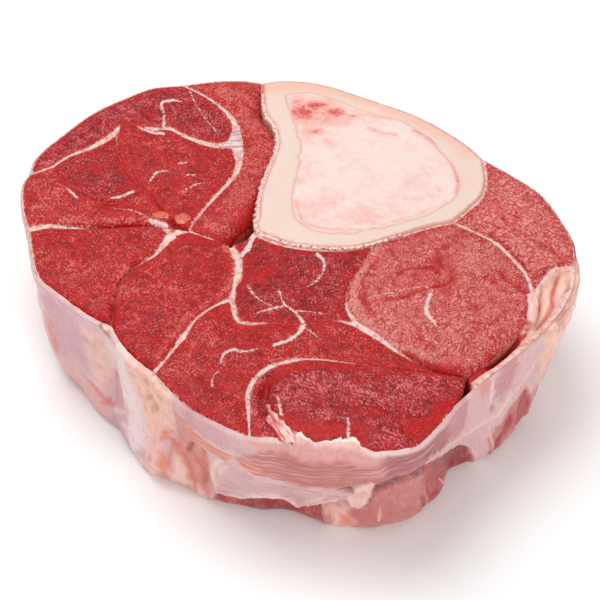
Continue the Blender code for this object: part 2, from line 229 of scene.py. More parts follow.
def smooth_line(points):
    """A Catmull-Rom curve through the points: on each stretch a cubic in t, whose slope at either end is
    half the way from the point before to the point after."""
    points = np.array(points, float)
    ends = np.vstack([2 * points[0] - points[1], points, 2 * points[-1] - points[-2]])
    pieces = []
    for before, start, stop, after in zip(ends, ends[1:], ends[2:], ends[3:]):
        steps = max(2, round(np.linalg.norm(stop - start) / STEP))
        t = np.linspace(0, 1, steps, endpoint=False)[:, None]
        pieces.append(
            start
            + 0.5 * t * (stop - before)
            + t**2 * (before - 2.5 * start + 2 * stop - 0.5 * after)
            + 0.5 * t**3 * (3 * start - before - 3 * stop + after)
        )
    return np.vstack(pieces + [points[-1:]])


def face_line(path):
    """A smooth curve through points of the cut face, moved so that the face's centre is at the origin."""
    return smooth_line(path) - FACE_CENTRE


def wall(start, stop):
    """A wall as a line from one junction to the other: its points, half its width, its depth and how white
    it is at each."""
    key = start + stop
    order = 1 if key in WALLS else -1
    widths, depths, whites, bends = WALLS[key[::order]]
    line = face_line([JUNCTIONS[start], *bends[::order], JUNCTIONS[stop]])
    place = np.linspace(0, 1, len(line))
    width, depth, white = (read_along(values[::order], place) for values in (widths, depths, whites))
    return line, width / 2, depth, white


def walls_round(letters):
    """The walls from each junction to the next, and from the last one back to the first."""
    return [wall(a, b) for a, b in zip(letters, letters[1:] + letters[0])]


# The middle of the rim's box: nought while the rim is laid out, then the shift of everything on the face
FACE_CENTRE = np.zeros(2)
rim_points = np.vstack([line for line, *_ in walls_round(RIM)])
FACE_CENTRE = (rim_points.min(0) + rim_points.max(0)) / 2


def runs_clockwise(ring):
    """Whether a ring's area by the shoelace formula is below nought."""
    x, y = ring.T
    return np.sum(x * np.roll(y, -1) - y * np.roll(x, -1)) < 0


def normals_into(ring):
    """The unit normals of an anticlockwise ring, pointing into it: its direction of travel turned left."""
    travel = np.roll(ring, -1, axis=0) - np.roll(ring, 1, axis=0)
    travel /= np.linalg.norm(travel, axis=1)[:, None]
    return np.column_stack([-travel[:, 1], travel[:, 0]])


def inside(points, ring):
    """Whether a line to the right from each point crosses the ring an odd number of times."""
    order = np.argsort(points[:, 1])
    x, y = points[order].T
    odd = np.zeros(len(points), bool)
    for (x0, y0), (x1, y1) in zip(ring, np.roll(ring, -1, axis=0)):
        spanned = slice(*np.searchsorted(y, sorted((y0, y1))))
        if spanned.start < spanned.stop:
            odd[spanned] ^= x[spanned] < x0 + (y[spanned] - y0) * (x1 - x0) / (y1 - y0)
    return odd[np.argsort(order)]


def closed(ring):
    """The ring with its first point again at its end."""
    return np.vstack([ring, ring[:1]])


def even_ring(ring, spacing=STEP, easing=3):
    """The ring with its points at equal steps, and its corners eased by averaging neighbours."""
    measure = np.concatenate([[0], np.cumsum(np.linalg.norm(np.diff(closed(ring), axis=0), axis=1))])
    wanted = np.linspace(0, measure[-1], round(measure[-1] / spacing), endpoint=False)
    ring = np.column_stack([np.interp(wanted, measure, side) for side in closed(ring).T])
    for _ in range(easing):
        ring = (np.roll(ring, 1, axis=0) + 2 * ring + np.roll(ring, -1, axis=0)) / 4
    return ring


def without_tips(ring, narrow):
    """The ring cut short where it tapers: what lies between two of its points that are nearer than narrow,
    and further apart than that along it, is left out."""
    count = len(ring)
    apart = np.linalg.norm(ring[:, None] - ring[None], axis=2)
    steps = (np.arange(count)[None] - np.arange(count)[:, None]) % count
    near = (apart < narrow) & (steps * STEP > 2 * narrow) & (steps < count / 2)
    kept = np.ones(count, bool)
    for first, second in np.argwhere(near):
        kept[(first + np.arange(steps[first, second] + 1)) % count] = False
    return ring[kept]


def cell_ring(letters, overlap):
    """The ring just inside the walls of a cell: their lines moved in by half their width less the overlap.
    What lands outside, or nearer to another stretch than its depth, has crossed over and is dropped."""
    around = walls_round(letters)
    ring = np.vstack([line[:-1] for line, *_ in around])
    depth = np.concatenate([half[:-1] for _, half, *_ in around])
    depth = np.maximum(depth, LEAST_WALL / 2) - overlap
    if runs_clockwise(ring):
        ring, depth = ring[::-1], depth[::-1]
    moved = ring + normals_into(ring) * depth[:, None]
    apart = np.linalg.norm(moved[:, None] - ring[None], axis=2)
    kept = (apart > 0.97 * depth[None]).all(axis=1) & inside(moved, ring)
    return even_ring(without_tips(even_ring(moved[kept], easing=0), 2 * LEAST_WALL))


def closest_of(points, others):
    """The number of the nearest of the others to each point, all in plan, found with a tree."""
    tree = KDTree(len(others))
    for number, (x, y) in enumerate(others.tolist()):
        tree.insert((x, y, 0), number)
    tree.balance()
    return np.array([tree.find((x, y, 0))[1] for x, y in points.tolist()])


def nearest(points, line):
    """How far each point is from a line of short segments, and how far along it the closest place is, from
    0 to 1: of the two segments at the line's nearest point, the one with the nearer foot."""
    closest = closest_of(points, line)
    run = np.diff(line, axis=0)
    gap = np.full(len(points), np.inf)
    place = np.zeros(len(points))
    for first in (np.maximum(closest - 1, 0), np.minimum(closest, len(run) - 1)):
        toward = points - line[first]
        share = np.clip((toward * run[first]).sum(axis=1) / (run[first] ** 2).sum(axis=1), 0, 1)
        here = np.linalg.norm(toward - share[:, None] * run[first], axis=1)
        place = np.where(here < gap, (first + share) / len(run), place)
        gap = np.minimum(here, gap)
    return gap, place


LATTICE = np.random.default_rng(11).uniform(-1, 1, (64, 64, 64))


def noise(points, size, seed=0):
    """Smooth random values from -1 to 1 that change over the given size: random numbers on a cubic lattice,
    blended between its corners with weights eased by 3 s squared less 2 s cubed."""
    spot = points / size + np.array([3.7, 9.1, 5.3]) * (seed + 1)
    corner = np.floor(spot).astype(int)
    share = spot - corner
    share = share * share * (3 - 2 * share)
    total = np.zeros(len(points))
    for step in np.ndindex(2, 2, 2):
        weight = np.prod(np.where(step, share, 1 - share), axis=1)
        total += weight * LATTICE[tuple(((corner + step) % len(LATTICE)).T)]
    return total


def flat_noise(plan, size, seed=0):
    """The same noise in plan, at height nought."""
    return noise(np.column_stack([plan, np.zeros(len(plan))]), size, seed)


def smoothstep(value, low, high):
    """0 below low, 1 above high, and an S-shaped rise between."""
    share = np.clip((value - low) / (high - low), 0, 1)
    return share * share * (3 - 2 * share)


def bell(gap, reach):
    """1 where the gap is nought, falling off as e to the minus square of the gap over its reach."""
    return np.exp(-((gap / reach) ** 2))


def turned(points, degrees):
    """Points in plan turned anticlockwise about the origin."""
    cosine, sine = math.cos(math.radians(degrees)), math.sin(math.radians(degrees))
    return points @ np.array([[cosine, sine], [-sine, cosine]])


def at_height(plan, height):
    """Points of the cut face carried down to a height, each along its own straight fibre: the foot is the
    face drawn smaller and turned a little."""
    height = np.broadcast_to(height, len(plan))
    down = (1 - height / THICKNESS)[:, None]
    return np.column_stack([plan + down * (FOOT_SCALE * turned(plan, FOOT_TWIST) - plan), height])


rim_ring = even_ring(np.vstack([line[:-1] for line, *_ in walls_round(RIM)])[::-1])

# Where the foot is drawn in under the side: direction in degrees, how far that spreads in degrees and
# rises in millimetres, and how far in it goes
FOOT_TUCKS = [
    (262, 9, 4, 0.6),
    (290, 7, 5, 2.5),
    (303.5, 4, 8, 1.6),
    (330, 5, 6, 1.4),
    (343, 6, 12, 2.2),
]
TUCK_REACH = 7.0


def turned_by(direction, middle):
    """How far a direction lies from the middle one, from -180 to 180 degrees."""
    return (direction - middle + 180) % 360 - 180


def foot_tuck(direction, height):
    """How far the side is drawn in: a bell round each tuck's direction times a half bell from the foot up."""
    total = np.zeros(np.broadcast(direction, height).shape)
    for middle, spread_of, rise_of, amount in FOOT_TUCKS:
        total += amount * bell(turned_by(direction, middle), spread_of) * bell(height, rise_of)
    return total


def draw_in(points, plan, under):
    """The points moved inward with the tucked foot: all the way at the rim, and less the further in."""
    closest = closest_of(plan, rim_ring)
    gap = np.linalg.norm(plan - rim_ring[closest], axis=1)
    share = smoothstep(TUCK_REACH - gap, 0, TUCK_REACH)
    direction = np.degrees(np.arctan2(plan[:, 1], plan[:, 0]))
    amount = share[under] * foot_tuck(direction[under], points[:, 2])
    points[:, :2] += normals_into(rim_ring)[closest[under]] * amount[:, None]
    return points


def sheet(rings, spacing):
    """A flat sheet inside the first ring and outside the others: a hexagonal grid of points between them,
    and all of them joined by a constrained Delaunay triangulation."""
    low, high = rings[0].min(axis=0), rings[0].max(axis=0)
    edges = np.vstack(rings)
    grid = []
    for number, y in enumerate(np.arange(low[1], high[1], spacing * math.sqrt(0.75))):
        x = np.arange(low[0] + number % 2 * spacing / 2, high[0], spacing)
        near = edges[np.abs(edges[:, 1] - y) < spacing]
        apart = np.hypot(x[:, None] - near[:, 0], y - near[:, 1])
        x = x[(apart > 0.6 * spacing).all(axis=1)]
        grid.append(np.column_stack([x, np.full(len(x), y)]))
    grid = np.vstack(grid)

    def within(points):
        kept = inside(points, rings[0])
        for hole in rings[1:]:
            kept &= ~inside(points, hole)
        return kept

    points = np.vstack([edges, grid[within(grid)]])
    loops = np.split(np.arange(len(edges)), np.cumsum([len(ring) for ring in rings])[:-1])
    links = np.vstack([np.column_stack([loop, np.roll(loop, -1)]) for loop in loops])
    found = delaunay_2d_cdt([Vector(p) for p in points.tolist()], links.tolist(), [], 0, 1e-6)
    faces = np.array(found[2])
    faces = faces[within(points[faces].mean(axis=1))]
    a, b, c = (points[faces[:, k]] for k in range(3))
    clockwise = (b - a)[:, 0] * (c - a)[:, 1] < (b - a)[:, 1] * (c - a)[:, 0]
    faces[clockwise] = faces[clockwise][:, ::-1]
    return points, faces, loops


# How far down a slab's edge each row of points lies: close together near the top, where its edge rounds over
WALL_ROWS = [0.008, 0.025, 0.06, 0.12, 0.22, 0.45, 0.8, 0.97]


def slab(plan, faces, loops, high, low):
    """A closed slab: the sheet at the upper heights and again at the lower ones, and rows of points down the
    edges between them, at WALL_ROWS shares of the way. Also gives the plan point under each of its points."""
    points = [at_height(plan, high), at_height(plan, low)]
    under = [np.arange(len(plan))] * 2
    triangles = [faces, faces[:, ::-1] + len(plan)]
    count = 2 * len(plan)
    for loop in loops:
        rows = [loop]
        for share in WALL_ROWS:
            points.append(at_height(plan[loop], high[loop] * (1 - share) + low[loop] * share))
            under.append(loop)
            rows.append(np.arange(count, count + len(loop)))
            count += len(loop)
        rows.append(loop + len(plan))
        for upper, lower in zip(rows, rows[1:]):
            right = np.roll(lower, -1)
            triangles.append(np.column_stack([upper, lower, right]))
            triangles.append(np.column_stack([upper, right, np.roll(upper, -1)]))
    return np.vstack(points), np.vstack(triangles), np.concatenate(under)


def make_piece(name, points, triangles, material, values, stands_for=()):
    """The mesh of a finished piece, with named values at its points for its material to read. It rides on
    the slice's one body, and may stand for solids of the frame."""
    mesh = bpy.data.meshes.new(name)
    mesh.vertices.add(len(points))
    mesh.vertices.foreach_set("co", (points * MM).astype(np.float32).ravel())
    mesh.loops.add(3 * len(triangles))
    mesh.loops.foreach_set("vertex_index", triangles.astype(np.int32).ravel())
    mesh.polygons.add(len(triangles))
    mesh.polygons.foreach_set("loop_start", np.arange(0, 3 * len(triangles), 3, dtype=np.int32))
    mesh.update(calc_edges=True)
    mesh.validate()
    mesh.shade_smooth()
    for key, value in values.items():
        value = np.asarray(value, np.float32)
        kind, field = ("FLOAT_COLOR", "color") if value.ndim == 2 else ("FLOAT", "value")
        mesh.attributes.new(key, kind, "POINT").data.foreach_set(field, value.ravel())
    mesh.materials.append(material)
    piece = bpy.data.objects.new(name, mesh)
    bpy.context.scene.collection.objects.link(piece)
    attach(piece, "root")
    if stands_for:
        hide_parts(*stands_for)


def colour(red, green, blue):
    """A colour as it shows on a screen, 0 to 255 each, turned into the light that a shader takes."""
    share = np.array([red, green, blue]) / 255
    light = np.where(share > 0.04045, ((share + 0.055) / 1.055) ** 2.4, share / 12.92)
    return (*light.tolist(), 1)


def feed(tree, node, inputs):
    """Links each input to the socket that it is given, or sets it to the value."""
    for key, value in inputs.items():
        if isinstance(value, bpy.types.NodeSocket):
            tree.links.new(value, node.inputs[key])
        else:
            node.inputs[key].default_value = value


def add(tree, kind, inputs, out=0, **settings):
    """A shader node with its settings and inputs; gives back one of its outputs."""
    node = tree.nodes.new("ShaderNode" + kind)
    for key, value in settings.items():
        setattr(node, key, value)
    feed(tree, node, inputs)
    return node.outputs[out]


def maths(tree, operation, *values):
    """Two or three values worked together."""
    return add(tree, "Math", dict(enumerate(values)), operation=operation)


def blend(tree, share, first, second):
    """The first colour where the share is 0, the second where it is 1."""
    return add(tree, "Mix", {0: share, 6: first, 7: second}, out=2, data_type="RGBA")


def rise(tree, value, low, high, start=0.0, stop=1.0):
    """An S-shaped rise from start to stop as the value goes from low to high."""
    inputs = {"Value": value, "From Min": low, "From Max": high, "To Min": start, "To Max": stop}
    return add(tree, "MapRange", inputs, interpolation_type="SMOOTHSTEP")


def grain(tree, place, size, detail=2.0, roughness=0.5):
    """Smooth random values about 0.5 that change over size millimetres."""
    inputs = {"Vector": place, "Scale": 1 / size, "Detail": detail, "Roughness": roughness}
    return add(tree, "TexNoise", inputs)


def scaled(tree, place, scale):
    """The place with each of its three directions multiplied by its own scale."""
    return add(tree, "VectorMath", {0: place, 1: scale}, operation="MULTIPLY")


def value_of(tree, name):
    """A value that the mesh holds at its points."""
    return add(tree, "Attribute", {}, out="Fac", attribute_name=name)


def millimetres(tree, angle=0.0, upright=1.0):
    """The point in millimetres, turned in plan, its height drawn out so that a pattern runs up the piece."""
    place = add(tree, "TexCoord", {}, out="Object")
    scale = (1000, 1000, 1000 * upright)
    return add(tree, "Mapping", {"Vector": place, "Rotation": (0, 0, angle), "Scale": scale})


def new_finish(name, **inputs):
    """A material on one Principled shader, with the inputs that are the same all over."""
    material = bpy.data.materials.new(name)
    material.use_nodes = True
    tree = material.node_tree
    shader = tree.nodes["Principled BSDF"]
    feed(tree, shader, {key.replace("_", " "): value for key, value in inputs.items()})
    return material, tree, shader


def set_surface(tree, shader, tint, height, strength, distance):
    """Feeds a shader its colour, and its finest relief as a bump of this strength over so many metres."""
    bump = add(tree, "Bump", {"Height": height, "Strength": strength, "Distance": distance})
    feed(tree, shader, {"Base Color": tint, "Normal": bump})


SINEW_WHITE = colour(234, 198, 190)
SINEW_PINK = colour(212, 130, 120)
SINEW_BARE = colour(184, 26, 24)
POCKET_FAT = colour(236, 194, 176)
POCKET_GROOVE = colour(206, 96, 74)


def sinew_finish():
    """White sinew: pink blotches, bare red where it is thin, creamy in the pocket of fat."""
    material, tree, shader = new_finish(
        "white_sinew",
        Roughness=0.42,
        Specular_IOR_Level=0.35,
        Subsurface_Weight=0.25,
        Subsurface_Scale=0.0015,
        Subsurface_Radius=(1.0, 0.35, 0.25),
    )
    place = millimetres(tree)
    blotch = rise(tree, grain(tree, place, 1.8, 4, 0.65), 0.42, 0.66)
    tint = blend(tree, blotch, SINEW_WHITE, SINEW_PINK)
    uneven = maths(tree, "ADD", grain(tree, place, 2.5, 3), 0.5)
    groove = maths(tree, "MULTIPLY", value_of(tree, "groove"), uneven)
    fat = blend(tree, rise(tree, groove, 0.45, 1.0, 0.0, 0.85), POCKET_FAT, POCKET_GROOVE)
    tint = blend(tree, value_of(tree, "fat"), tint, fat)
    patchy = maths(tree, "MULTIPLY_ADD", grain(tree, place, 1.3, 4), 0.7, value_of(tree, "white"))
    tint = blend(tree, rise(tree, patchy, 0.65, 1.05), SINEW_BARE, tint)
    set_surface(tree, shader, tint, grain(tree, place, 0.5, 3), 0.4, 0.0003)
    return material


# The spacing of the web's points, how far its edge lies inside the rim, the height of its foot, how ragged
# its holes are and over what length, and how far the muscles and the bone reach into it
WEB_SPACING = 0.4
WEB_REACH = 0.2
WEB_FOOT = 0.5
HOLE_RAGGED = 0.2
HOLE_TEETH = 1.1
OVERLAP = 0.25
# Open clefts in the web: their path, how deep they go and how far their lips spread
CLEFTS = [
    ([(-38.6, 18), (-37.6, 14.5), (-36.6, 11)], 5.0, 0.9),
    ([(51, -43.5), (56, -38.5), (62, -31.5)], 6.0, 1.4),
    ([(-22.5, 4), (-18, 7), (-14, 16)], 13.0, 2.0),
    ([(-12, 65), (-9.8, 57), (-6.5, 50)], 7.0, 1.0),
    ([(45, -45), (46, -52), (43, -57)], 9.0, 1.2),
]
POCKET_SLOPE = 1.6
POCKET_MARGIN = 2.5
# Grooves between the folds of the pocket's fat: the way each runs, how far it spreads and how deep it is
POCKET_GROOVES = [
    ([(68.5, -8), (69.4, -14), (68.4, -20), (66, -26)], 1.0, 1.6),
    ([(75, -8), (73, -15), (72, -21), (67, -29)], 0.9, 1.5),
    ([(77.4, -12), (75.6, -18), (71.5, -25)], 0.8, 0.9),
]


def ragged(ring, amount, size, seed):
    """The ring with its points moved in and out by noise of a size and by finer noise on top."""
    wobble = flat_noise(ring, size, seed) + 0.6 * flat_noise(ring, size / 2.7, seed + 1)
    return ring + normals_into(ring) * (amount * wobble)[:, None]


def swelling(place, tip):
    """From little at either end of a line to 1 in its middle: the square root of half a wave, held from its
    tips inward."""
    return np.sin(np.pi * np.clip(place, tip, 1 - tip)) ** 0.5


def band_share(plan, path, reach):
    """1 on a curve through the points of the path, falling off like a bell over its reach."""
    return bell(nearest(plan, face_line(path))[0], reach)


# The muscles and the bone reach into the web by the overlap, and its own holes end, a little ragged, at the
# walls' true edges
cell_rings = {name: cell_ring(letters, OVERLAP) for name, letters in MUSCLE_CELLS.items()}
bone_ring = cell_ring(BONE_CELL, OVERLAP)
holes = [
    without_tips(ragged(ring + normals_into(ring) * OVERLAP, HOLE_RAGGED, HOLE_TEETH, 4), LEAST_WALL)
    for ring in [*cell_rings.values(), bone_ring]
]
web_edge = rim_ring - normals_into(rim_ring) * WEB_REACH
plan, faces, loops = sheet([web_edge, *[hole[::-1] for hole in holes]], WEB_SPACING)

# The nearest wall gives each point of the web its depth and its whiteness, and the clefts sink it further
line, half, depth, white = (np.concatenate(part) for part in zip(*[wall(*key) for key in WALLS]))
nearest_wall = closest_of(plan, line)
sink, whiteness = depth[nearest_wall], white[nearest_wall]
for path, deep, reach in CLEFTS:
    gap, place = nearest(plan, face_line(path))
    opening = swelling(place, 0.02) * (1 - smoothstep(gap, 0.6 * reach, 1.6 * reach))
    sink = np.maximum(sink, deep * opening)
    whiteness = whiteness * (1 - opening)

# The pocket at the right end holds folded fat that slopes down to the rim
pocket_ring = cell_ring(FAT_POCKET, 0.0)
fat = smoothstep(nearest(plan, closed(pocket_ring))[0], 0, POCKET_MARGIN) * inside(plan, pocket_ring)
folds = 0.8 * flat_noise(plan, 5.0, 3) + 0.4 * flat_noise(plan, 2.2, 13)
groove = np.zeros(len(plan))
for path, reach, deep in POCKET_GROOVES:
    share = band_share(plan, path, reach)
    folds -= deep * share
    groove = np.maximum(groove, share)
high = THICKNESS - sink + 0.12 * flat_noise(plan, 1.6)
high += fat * (folds - POCKET_SLOPE * (1 - 0.5 * flat_noise(plan, 14, 5)))
low = WEB_FOOT + 0.2 * flat_noise(plan, 2.0, 9)
points, triangles, under = slab(plan, faces, loops, high, low)
points = draw_in(points, plan, under)
values = {"fat": fat[under], "groove": groove[under], "white": np.maximum(whiteness, fat)[under]}
make_piece("silverskin_web", points, triangles, sinew_finish(), values, ["silverskin_web"])


# The twelve muscles
# Raw lean meat cut across its fibres: each muscle swells a little above the cut, rounds over into the
# web at its edge, and shows its bundles of fibres as a fine wet grain. Thin sinews run inside it.

# Each muscle: how far it swells, its tone, which way its bundles lie in degrees, the width of their ends
# in millimetres, how drawn out they are, and how pale it is
MUSCLES = {
    "muscle_outer_band": (0.3, "wine", 35, 0.42, 1.9, 0.2),
    "muscle_crescent": (1.0, "rosy", 75, 0.4, 1.4, 0.9),
    "muscle_inner_left": (0.2, "wine", 20, 0.48, 1.7, 0.0),
    "muscle_inner_middle": (0.5, "red", 60, 0.42, 2.2, -0.1),
    "muscle_left_band": (0.2, "rosy", 10, 0.42, 1.8, 0.1),
    "muscle_left_front": (0.6, "red", 130, 0.42, 1.9, 0.2),
    "muscle_middle": (0.8, "red", 50, 0.42, 2.0, 0.0),
    "muscle_under_bone": (-0.2, "wine", 25, 0.4, 1.7, -0.2),
    "muscle_front_centre": (0.2, "red", 150, 0.42, 1.6, 0.2),
    "muscle_front": (0.6, "wine", 150, 0.38, 2.4, 0.5),
    "muscle_round": (1.8, "pink", 20, 0.36, 1.6, 1.2),
    "muscle_right": (0.2, "pink", 120, 0.45, 1.9, 1.3),
}
# The colours of each tone: the lean itself, its deeper patches, and painted glints on its wet fibre ends
TONES = {
    "wine": (colour(178, 22, 29), colour(132, 4, 16), colour(216, 110, 114)),
    "red": (colour(188, 22, 23), colour(152, 8, 13), colour(222, 98, 92)),
    "rosy": (colour(196, 36, 32), colour(162, 17, 19), colour(226, 112, 104)),
    "pink": (colour(216, 94, 89), colour(180, 34, 35), colour(234, 148, 141)),
}
EDGE_RED = colour(204, 24, 17)
EDGE_DEEP = colour(166, 10, 13)
# Fine light flecks on the lean: a painted glint of light on the wet meat
GLINT_FLECK = colour(246, 204, 196)
STRAND_WHITE = colour(244, 216, 210)

# Where the lean is paler, with more painted glints, or, below nought, redder: middle, reach both ways,
# and how much
ZONES = [
    ((-48, 46), (6, 4), 0.6),
    ((-70, 46), (10, 6), 0.1),
    ((-76, 16), (5, 8), 0.5),
    ((-53, 16), (12, 3), -0.3),
    ((-62, 34), (7, 6), -0.8),
    ((-66, 2), (9, 5), -0.5),
    ((-57, -12), (5, 9), 0.6),
    ((-42, -16), (8, 10), 0.5),
    ((-27, -5), (8, 8), -0.5),
    ((-30, 30), (7, 9), -0.3),
    ((-26, -36), (7, 5), 0.5),
    ((-12, -32), (6, 5), -0.5),
    ((-20, -52), (8, 6), -0.2),
    ((-9, -8), (8, 6), -0.8),
    ((10, -54), (14, 5), 0.5),
    ((6, -66), (12, 3), -0.9),
    ((34, -64), (7, 8), -1.0),
    ((30, 2), (12, 5), -0.5),
    ((34, -13), (4, 6), -0.7),
    ((28, -28), (12, 6), 0.3),
    ((57, -12), (4, 3), -0.8),
    ((4, 40), (9, 30), 0.1),
    ((62, 25), (8, 8), 0.2),
    ((66, 2), (8, 8), 1.0),
]

# Bands that are paler, with more painted glints, or redder: the way each runs, how far it spreads, and how
# much
BANDS = [
    ([(18.5, -27), (15.4, -21), (15.2, -15), (17.6, -8), (23, 2)], 1.3, 2.6),
    ([(20.5, -25), (18, -18), (18.5, -10), (22, -4)], 0.7, -1.6),
    ([(20, -29.5), (28, -36), (36, -41.5)], 1.4, 2.2),
    ([(30, -39.5), (38, -44), (44, -46)], 1.5, -2.6),
    ([(-29, 6.5), (-22, 5), (-17.5, 9), (-14.5, 17), (-11.5, 26)], 1.9, -2.0),
    ([(-50, -6), (-52, -12), (-52.5, -19)], 1.2, 2.2),
    ([(-24, -18.5), (-31, -24.5), (-36, -33), (-40, -41)], 1.1, 1.6),
    ([(-22, 2), (-19.5, -3), (-19.4, -10), (-21.5, -16)], 1.2, 2.4),
    ([(-70, 12.5), (-58, 13), (-48, 13.4), (-41.5, 12.6)], 1.0, 1.6),
    ([(-13, -60), (-13, -53), (-9, -45), (-3, -41), (6, -40)], 1.0, 1.6),
    ([(-10.5, -52), (-6.5, -46.5), (0, -44), (12, -43.5)], 1.6, -2.4),
    ([(39, -4.5), (43, -11), (41.7, -16.3)], 1.8, -1.8),
    ([(49.4, -22.6), (49.6, -24)], 0.8, -2.6),
    ([(33, -31), (34, -35), (38, -38.5)], 0.6, -2.0),
    ([(46, -33), (52, -31), (57, -25)], 0.5, -1.6),
    ([(26, -24), (31, -28), (32, -33)], 0.4, -1.6),
    ([(38, -8), (41, -2), (45, 3), (50, 7.5)], 2.4, -0.6),
    ([(48, -6), (51, 0), (55, 3)], 2.2, 1.0),
    ([(30, -66), (36, -62), (41, -56)], 2.2, -2.2),
    ([(-6, -62), (-1, -65), (8, -66.5), (16, -68)], 2.8, -2.4),
    ([(10, -58), (22, -61), (30, -64)], 2.0, -1.4),
]

# Sinews inside the muscles: the way each runs, and its widths along it
SINEWS = [
    ([(-42, 53), (-42, 58), (-43, 63), (-40, 64.5), (-37, 64)], [1.1, 0.6, 0.8, 1.4, 0.5]),
    ([(-34.5, 69), (-32, 62), (-29, 56), (-26, 51)], [0.5, 0.4, 0.4, 0.4]),
    ([(-71, 28), (-68.5, 25), (-66, 21.5)], [0.3, 1.2, 0.4]),
    ([(-56, 22), (-53, 22.6), (-50, 24.5)], [0.6, 0.9, 1.0]),
    ([(-45, 29), (-43, 32.5), (-40, 33)], [0.5, 0.9, 0.4]),
    ([(-34, 25), (-31, 27), (-28, 28)], [0.4, 0.5, 0.3]),
    ([(-36.5, 36), (-34.5, 36.3)], [0.6, 0.5]),
    ([(-33.8, 31), (-31.5, 31.1)], [0.6, 0.5]),
    ([(-6, -15), (-5, -19), (-4, -21), (-1, -24), (1, -28)], [0.7, 0.5, 0.9, 0.8, 1.6]),
    ([(-4, -21), (-9, -22.5), (-13, -24)], [0.8, 0.7, 0.3]),
    ([(1, -28), (0, -31), (-3, -34), (-7, -36)], [1.8, 1.2, 1.1, 1.3]),
    ([(1, -29), (6, -34)], [0.6, 0.2]),
    ([(-1, -23), (6, -24)], [0.5, 0.2]),
    ([(-22, -42.5), (-21, -39), (-18.5, -37.5), (-16, -38.5), (-11, -37.5)], [0.6, 0.9, 1.1, 0.7, 0.4]),
    ([(-24, -51), (-24, -48), (-22.5, -45)], [0.4, 0.5, 0.3]),
    ([(5, -1), (7, -4), (6.5, -8), (4, -12), (1, -14)], [1.4, 1.0, 0.6, 0.5, 0.2]),
    ([(-15, -13), (-13, -17), (-10, -20), (-8, -21)], [0.5, 0.6, 0.5, 0.2]),
    ([(-50.2, 53.4), (-48, 51.6), (-45, 50.2), (-42, 49.6)], [0.4, 0.9, 1.2, 1.2]),
    ([(-44.3, 13), (-40.1, 10.8), (-36.6, 7.8), (-37.4, 4.8)], [1.2, 2.2, 2.2, 1.2]),
    ([(-56, 18.4), (-50, 17), (-44.6, 13.8)], [0.2, 0.4, 0.3]),
    ([(-13, 8.2), (-14.4, 4), (-15.4, 1), (-17, -1.6)], [2.4, 1.2, 1.9, 1.2]),
    ([(37, -18), (36, -21), (35.5, -25), (37, -28), (39, -32)], [1.4, 1.1, 1.5, 0.8, 0.3]),
    ([(20, -19), (28, -17), (36, -15), (38, -18)], [0.2, 0.3, 0.3, 0.2]),
    ([(-6, -55), (-5, -61)], [0.4, 1.0]),
    ([(13, -62), (13, -69)], [0.4, 1.0]),
]
# Dents in the face of the muscles: the way each runs, how wide it spreads and how deep it is
DENTS = [
    ([(26, -8), (34, -7), (40, -12), (38, -18)], 1.2, 0.8),
    ([(18, -10), (17.3, -18), (18.5, -28)], 1.2, 0.9),
    ([(20, -29), (30, -35), (38, -41)], 1.4, 0.8),
    ([(-9, -47), (-9.8, -55), (-8.5, -62)], 1.8, 3.2),
    ([(-6, -13), (-12, -12)], 1.6, 0.5),
    ([(-27, -4), (-33, -6), (-40, -12), (-44, -20)], 1.6, 0.6),
    ([(-66, 17.5), (-56, 19.5), (-46, 19)], 1.8, 0.7),
    ([(-30, -47), (-22, -50), (-16, -56)], 1.4, 0.5),
    ([(66, -6), (70, 2), (73, 8)], 1.6, 1.4),
    ([(62, 4), (66, 12)], 1.4, 1.0),
]
# Folds that are a band and a dent at once: the way each runs, the reach and amount of its band, and the
# width and depth of its dent
FOLDS = [
    ([(28, -10.3), (30.6, -8.3), (37, -7.5), (40, -10.3)], 0.5, -2.4, 0.6, 0.5),
    ([(20.3, -20.5), (28.2, -19.3), (35.1, -16), (41, -14.3)], 0.5, -2.2, 0.6, 0.5),
    ([(57, -9.5), (61.5, -13.5), (65, -16.5)], 1.0, -2.4, 1.0, 1.0),
    ([(56.5, 7), (61.5, 0), (65.5, -7)], 0.9, -2.0, 0.9, 2.0),
    ([(70, 4.5), (72.6, 1.6), (75.6, -2)], 0.7, -1.8, 0.8, 1.2),
    ([(60, 14), (64, 8), (69, 4)], 0.7, -1.8, 0.8, 1.0),
]
BANDS += [(way, reach, amount) for way, reach, amount, *_ in FOLDS]
DENTS += [(way, *dent) for way, _, _, *dent in FOLDS]
# The spacing of a muscle's points, how far it sinks at its edge, over how much it swells and is smooth from
# there, how far in distances from an edge are told, and how much a pattern is drawn out down the fibres
LEAN_SPACING = 0.36
EDGE_SINK = 0.15
SWELL_REACH = 9
SMOOTH_RIM = 1.5
FAR_IN = 9
DOWN_THE_FIBRES = 0.06


def round_drop(gap, radius):
    """How far a rounded edge drops, for a drop of 1: a quarter circle from the edge to the radius inward."""
    inward = np.clip(1 - gap / radius, 0, 1)
    return 1 - np.sqrt(1 - inward**2)


def rounded_over(plan, letters):
    """How far a muscle's face drops towards each of its walls, how far each point is from the nearest and how
    white that one is: a quarter circle down to the wall's depth, the walls joined by the fourth root of
    summed fourth powers."""
    total = np.zeros(len(plan))
    edge = np.full(len(plan), 1e3)
    white = np.zeros(len(plan))
    for line, half, depth, whites in walls_round(letters):
        gap, place = nearest(plan, line)
        gap = np.maximum(gap - np.maximum(read_along(half, place), LEAST_WALL / 2) + OVERLAP, 0)
        depth = read_along(depth, place)
        total += ((depth + EDGE_SINK) * round_drop(gap, 0.5 + 1.1 * depth)) ** 4
        white = np.where(gap < edge, read_along(whites, place), white)
        edge = np.minimum(edge, gap)
    return total**0.25, edge, white


